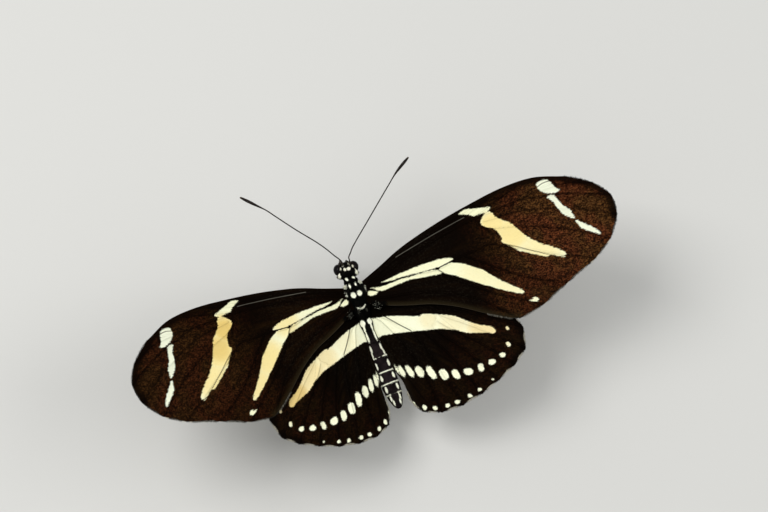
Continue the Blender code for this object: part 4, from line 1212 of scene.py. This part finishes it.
for side_name, side in SIDES.items():
    bm = bmesh.new()
    bmesh.ops.create_icosphere(bm, subdivisions=5, radius=1.0)
    greys = []
    for v in bm.verts:
        v.co.x *= 1.0 - 0.25 * v.co.y
        inside = 0.42 - math.hypot(v.co.x - 0.35, v.co.y + 0.1) if v.co.z > 0.0 else -1.0
        greys.append(min(-0.035, 0.25 * inside))
    bmesh.ops.scale(bm, vec=FLAP_HALF, verts=bm.verts)
    bmesh.ops.rotate(bm, cent=(0.0, 0.0, 0.0), matrix=FLAP_LEAN, verts=bm.verts)
    bmesh.ops.translate(bm, vec=FLAP_CENTRE, verts=bm.verts)
    bmesh.ops.scale(bm, vec=(side, 1.0, 1.0), verts=bm.verts)
    flap = piece_from(bm, f"{side_name}_shoulder_flap", skin_finish)
    give_values(flap.data, "cream", greys)
    tufts = []
    for k in range(ROOT_HAIRS):
        span = 0.1 + 2.2 * chance.random() ** 1.6
        chord = chance.uniform(-3.0, -1.15)
        low = wing_point(FOREWING, side_name, span, chord, 0.02)
        high = wing_point(FOREWING, side_name, span + 0.9, chord - chance.uniform(0.1, 0.9), 0.14)
        ahead = (high - low).normalized()
        size = chance.uniform(0.6, 1.0) * (1.0 - 0.5 * eased(span, 1.5, 3.5))
        grey = -0.045 if chance.random() < 0.22 and span < 1.6 else -0.5
        home = (0.02 + span / 5.0, 0.5 + chord / 10.0)
        tufts.append((low, ahead, ahead.cross(UP).normalized(), UP, size, 0.085, home, grey))
    hair_piece(f"{side_name}_root_hair", tufts, hair_finish)

# Hindwings: the same sheets, shorter and rounder, with one long cream band and a chain of round
# dots inside the margin. They pass under the forewings and run back along the abdomen.
HINDWING_VEINS = [
    [(0.2, 0.5), (2.0, 0.8), (6.0, 0.9), (12.0, -0.9), (18.0, -4.9), (21.7, -7.2)],
    [(0.2, -0.1), (2.0, 0.0), (5.0, -0.4), (10.0, -2.3), (16.0, -5.7), (22.85, -10.4)],
    [(10.0, -2.3), (10.4, -3.6), (15.0, -7.4), (21.9, -13.9)],
    [(10.4, -3.6), (9.9, -4.6), (15.0, -10.4), (19.3, -15.9)],
    [(9.9, -4.6), (8.9, -5.6), (12.5, -11.0), (15.9, -17.45)],
    [(0.4, -0.6), (1.8, -1.4), (5.2, -4.6), (7.2, -5.9), (8.9, -5.6)],
    [(7.2, -5.9), (10.0, -11.5), (12.4, -18.7)],
    [(5.2, -4.6), (6.9, -10.5), (8.6, -19.5)],
    [(0.4, -0.8), (1.3, -2.0), (3.2, -6.5), (4.6, -12.5), (4.9, -19.5)],
]
HINDWING_BAND = [
    (-0.6, -0.85), (0.12, -0.95), (2.13, -1.27), (4.3, -1.95), (7.55, -3.12), (7.8, -2.95),
    (8.2, -2.93), (10.75, -3.95), (12.85, -4.95), (14.55, -6.4), (16.05, -7.6), (17.85, -8.62),
    (18.45, -9.4), (18.25, -9.8), (17.85, -9.92), (16.7, -9.32), (14.84, -8.78), (13.55, -8.22),
    (12.75, -7.62), (12.35, -7.3), (11.7, -7.05), (10.2, -6.4), (7.6, -5.75), (5.0, -5.1),
    (2.3, -4.5), (0.3, -4.2), (-0.6, -4.2),
]
HINDWING_SPOTS = [  # span, chord, half across, half along, tilt in degrees
    (19.51, -12.37, 0.36, 0.46, 10), (17.94, -13.75, 0.52, 0.42, -15), (15.89, -14.29, 0.66, 0.5, -5),
    (13.83, -14.54, 0.56, 0.76, -12), (11.57, -14.53, 0.82, 0.66, -20), (9.44, -14.28, 0.64, 0.96, 14),
    (7.54, -13.65, 0.72, 1.04, 10), (5.67, -12.71, 0.62, 1.34, 12), (3.93, -11.9, 0.7, 1.1, 10),
    (2.36, -11.3, 0.5, 1.18, 12), (1.08, -10.86, 0.44, 1.12, 8), (0.44, -10.32, 0.17, 0.8, 8),
    (20.4, -9.83, 0.3, 0.34, 20), (14.9, -17.05, 0.2, 0.16, 0), (0.9, -16.65, 0.26, 0.36, 0),
    (2.37, -17.8, 0.38, 0.45, 0), (4.03, -18.46, 0.42, 0.4, 0), (6.15, -18.76, 0.45, 0.35, 0),
    (7.95, -18.71, 0.5, 0.35, 0), (10.27, -18.41, 0.4, 0.35, 0), (12.23, -17.96, 0.36, 0.3, 0),
]
HINDWING_CROSSED = [
    (0.03, [(1.78, -1.06), (3.48, -3.05), (5.2, -5.0)]), (-0.02, [(10.6, -4.3), (12.4, -7.5)]),
]
HINDWING_BUFF = {
    "left": [(4.0, -3.0, 3.0, 0.4), (8.6, -4.4, 2.8, 0.75), (12.5, -6.5, 3.5, 1.0), (17.0, -8.8, 3.8, 1.75)],
    "right": [(17.5, -8.9, 4.0, 1.0), (12.3, -6.2, 3.2, 0.5), (8.6, -4.2, 1.9, 0.5), (3.0, -2.6, 2.0, 0.15)],
}
HINDWING = dict(
    kind="hindwing", hinge=(1.4, -2.0, 0.25), rise=math.radians(25.9), rise_change=math.radians(-0.115),
    incidence=math.radians(12.4), sweep={"left": 0.0, "right": 0.0}, tuck=0.35,
    slide={"left": -0.26, "right": 0.06}, scallop=0.28, columns=150, rows=190,
    base=[(-0.6, 1.3), (-0.75, 0.4), (-0.75, -0.45)],
    front=[(4.0, 2.3), (9.0, 1.7), (14.0, -0.5), (18.6, -3.9)],
    vein_ends=[
        (21.7, -7.2), (22.85, -10.4), (21.9, -13.9), (19.3, -15.9), (15.9, -17.45), (12.4, -18.7),
        (8.6, -19.5), (4.9, -19.5), (1.9, -18.4),
    ],
    rear=[(0.82, -16.3), (0.7, -14.4), (0.58, -12.4), (0.02, -10.4), (-0.55, -7.5), (-0.85, -4.0)],
    veins=HINDWING_VEINS, marks=[HINDWING_BAND], dots=HINDWING_SPOTS, crossed=HINDWING_CROSSED,
    # Painted sheen: a pale line along the greyish front area
    sheen_line=[(2.0, 1.8), (8.0, 1.4), (12.0, 0.2)],
    crimson=[
        [(1.0, 0.9), (1.6, 1.3), (2.2, 1.0), (1.6, 0.6)],
        [(1.6, -0.4), (2.2, -0.2), (2.5, -0.6), (1.9, -0.9)],
        [(0.9, -1.6), (1.4, -1.4), (1.6, -1.9), (1.1, -2.1)],
    ],
    buff=HINDWING_BUFF, rust_and_glint=dict.fromkeys(SIDES, [(19.0, -14.0, 9.0, 0.4), (8.0, -18.0, 6.0, 0.25)]),
    painted_shade=dict.fromkeys(SIDES, []), grey=dict.fromkeys(SIDES, [(10.0, 0.0, 6.0, 1.0), (3.0, -8.0, 5.0, 1.0)]),
)

hind_upper_finish = wing_finish(
    "hindwing_upper", True, (0.0018, 0.0009, 0.0004), (0.0065, 0.0034, 0.001), (0.05, 0.022, 0.007),
    (0.0085, 0.006, 0.0042), (0.9, 0.9, 0.65), (0.86, 0.71, 0.37),
)
for side_name in SIDES:
    make_wing(HINDWING, side_name, hind_upper_finish, under_finish)

# Fringes: each wing's margin carries a hem of long thin scales, pale between the veins and dark
# where a vein meets the edge. Every one is rooted in the rim and lies in the wing's plane.
FRINGE_LENGTH = 0.24
FRINGE_STEP = 0.085
FRINGE_WIDTH = 0.085
FRINGE_PALE = {"forewing": 0.3, "hindwing": 0.6}
FRINGE_FLECKS = np.array([  # pale flecks on the forewing's edge
    (40.5, -6.4), (37.9, -8.2), (36.8, -8.8), (31.6, -10.6), (26.8, -12.5), (24.3, -13.2),
])
FRINGE_DARK = (0.006, 0.004, 0.003)
FRINGE_CREAM = (0.6, 0.55, 0.42)

fringe_finish, tree, shader = new_finish("fringe_scales", 0.7, 0.25)
light = sums(tree, "MULTIPLY_ADD", clouds(tree, object_millimetres(tree), 3.0), 0.5, -0.25)
share = between(tree, sums(tree, "ADD", "pale", light), 0.1, 0.9)
coloured(tree, shader, layered(tree, FRINGE_DARK, (share, FRINGE_CREAM)))
for wing in (FOREWING, HINDWING):
    kind = wing["kind"]
    inner = smooth_line(wing["vein_ends"][-1:] + wing["rear"][:2], 0.1)
    hem = np.concatenate([scalloped(wing), np.array(inner[1:])])
    length = np.linalg.norm(np.diff(hem, axis=0), axis=1).sum()
    places = along_line(hem, np.linspace(0.0, 1.0, round(length / FRINGE_STEP)))
    ways = np.gradient(places, axis=0)
    outward = np.stack([-ways[:, 1], ways[:, 0]], 1) / np.linalg.norm(ways, axis=1)[:, None]
    ends = np.array(wing["vein_ends"])
    for side_name in SIDES:
        tufts = []
        for lift in (-0.1, -0.05):
            for place, away in zip(places, outward):
                place = place + np.array([chance.gauss(0, 0.03), chance.gauss(0, 0.03)])
                gap = np.linalg.norm(ends - place, axis=1).min()
                lean = np.array([chance.gauss(0, 0.18), chance.gauss(0, 0.18)])
                tip = place + (away + lean) * FRINGE_LENGTH
                low = wing_point(wing, side_name, *(place - away * 0.08), lift)
                high = wing_point(wing, side_name, *tip, lift)
                ahead = (high - low).normalized()
                across = ahead.cross(UP).normalized()
                size = (high - low).length * chance.uniform(0.75, 1.15) * (0.6 + 0.4 * eased(gap, 0.2, 1.2))
                fleck = np.linalg.norm(FRINGE_FLECKS - place, axis=1).min() if kind == "forewing" else 1.0
                pale = eased(gap, 0.35, 1.3) * FRINGE_PALE[kind] * eased(-place[1], -2.0, 9.0)
                pale = max(pale, 1.2 * eased(0.45 - fleck, 0.0, 0.2))
                tufts.append((low, ahead, across, UP, size, FRINGE_WIDTH, flat_home(*place), pale))
        hair_piece(f"{side_name}_{kind}_fringe", tufts, fringe_finish, "pale")

# Floor, lights and camera: the butterfly stands on a pale matt table under two large soft
# lamps, seen from almost straight above, a little from its left and behind.
VIEW_ROLL = math.radians(10.24)
VIEW_TIP = math.radians(1.17)
VIEW_TURN = math.radians(19.68)
VIEW_DISTANCE = 520.0
VIEW_SHIFT = (3.93, 8.04)  # millimetres right and up from the body to the picture's middle
VIEW_LENS = 147.5
TABLE_HALF = 3.0
LAMPS = [  # name, place in metres, width, watts
    ("key_lamp", (0.26, -0.2, 0.52), 0.3, 2.12), ("fill_lamp", (-0.35, 0.15, 0.4), 0.35, 0.7),
]
DAYLIGHT = (0.95, 0.98, 1.0, 1.0)
DAYLIGHT_STRENGTH = 0.61

bm = bmesh.new()
bmesh.ops.create_grid(bm, x_segments=4, y_segments=4, size=TABLE_HALF)
floor_mesh = bpy.data.meshes.new("floor")
bm.to_mesh(floor_mesh)
bm.free()
floor = bpy.data.objects.new("floor", floor_mesh)
put_in_scene(floor)
floor_finish, tree, shader = new_finish("pale_table", 0.8, 0.2)
fill_sockets(tree, shader, {"Base Color": (0.62, 0.61, 0.58, 1.0)})
floor_mesh.materials.append(floor_finish)
floor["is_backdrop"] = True

world = bpy.data.worlds.new("studio")
world.use_nodes = True
background = world.node_tree.nodes["Background"]
fill_sockets(world.node_tree, background, {"Color": DAYLIGHT, "Strength": DAYLIGHT_STRENGTH})
bpy.context.scene.world = world
for name, place, width, power in LAMPS:
    lamp_data = bpy.data.lights.new(name, "AREA")
    lamp_data.size = width
    lamp_data.energy = power
    lamp = bpy.data.objects.new(name, lamp_data)
    lamp.location = place
    lamp.rotation_mode = "QUATERNION"
    lamp.rotation_quaternion = Vector(place).to_track_quat("Z", "Y")
    put_in_scene(lamp)

turned = BODY.to_3x3()
towards_lens = turned @ Vector((
    math.sin(VIEW_ROLL) * math.cos(VIEW_TIP), -math.sin(VIEW_TIP), math.cos(VIEW_ROLL) * math.cos(VIEW_TIP),
))
level = turned @ Vector((-math.cos(VIEW_ROLL), 0.0, math.sin(VIEW_ROLL)))
upright = turned @ Vector((
    -math.sin(VIEW_TIP) * math.sin(VIEW_ROLL), -math.cos(VIEW_TIP), -math.sin(VIEW_TIP) * math.cos(VIEW_ROLL),
))
picture_right = level * math.cos(VIEW_TURN) - upright * math.sin(VIEW_TURN)
picture_up = level * math.sin(VIEW_TURN) + upright * math.cos(VIEW_TURN)
middle = BODY @ Vector((0.0, 0.0, 1.0))
eye_point = middle + towards_lens * VIEW_DISTANCE
aim = middle + picture_right * VIEW_SHIFT[0] + picture_up * VIEW_SHIFT[1]
back = (eye_point - aim).normalized()
right = picture_up.cross(back).normalized()
camera_data = bpy.data.cameras.new("camera")
camera_data.lens = VIEW_LENS
camera_data.sensor_width = 36.0
camera_data.clip_start = 0.01
camera_data.clip_end = 10.0
camera = bpy.data.objects.new("camera", camera_data)
pose = Matrix((right, back.cross(right), back)).transposed().to_4x4()
pose.translation = eye_point * MM
camera.matrix_world = pose
put_in_scene(camera)
bpy.context.scene.camera = camera
bpy.context.scene.view_settings.view_transform = "Standard"

low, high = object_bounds()
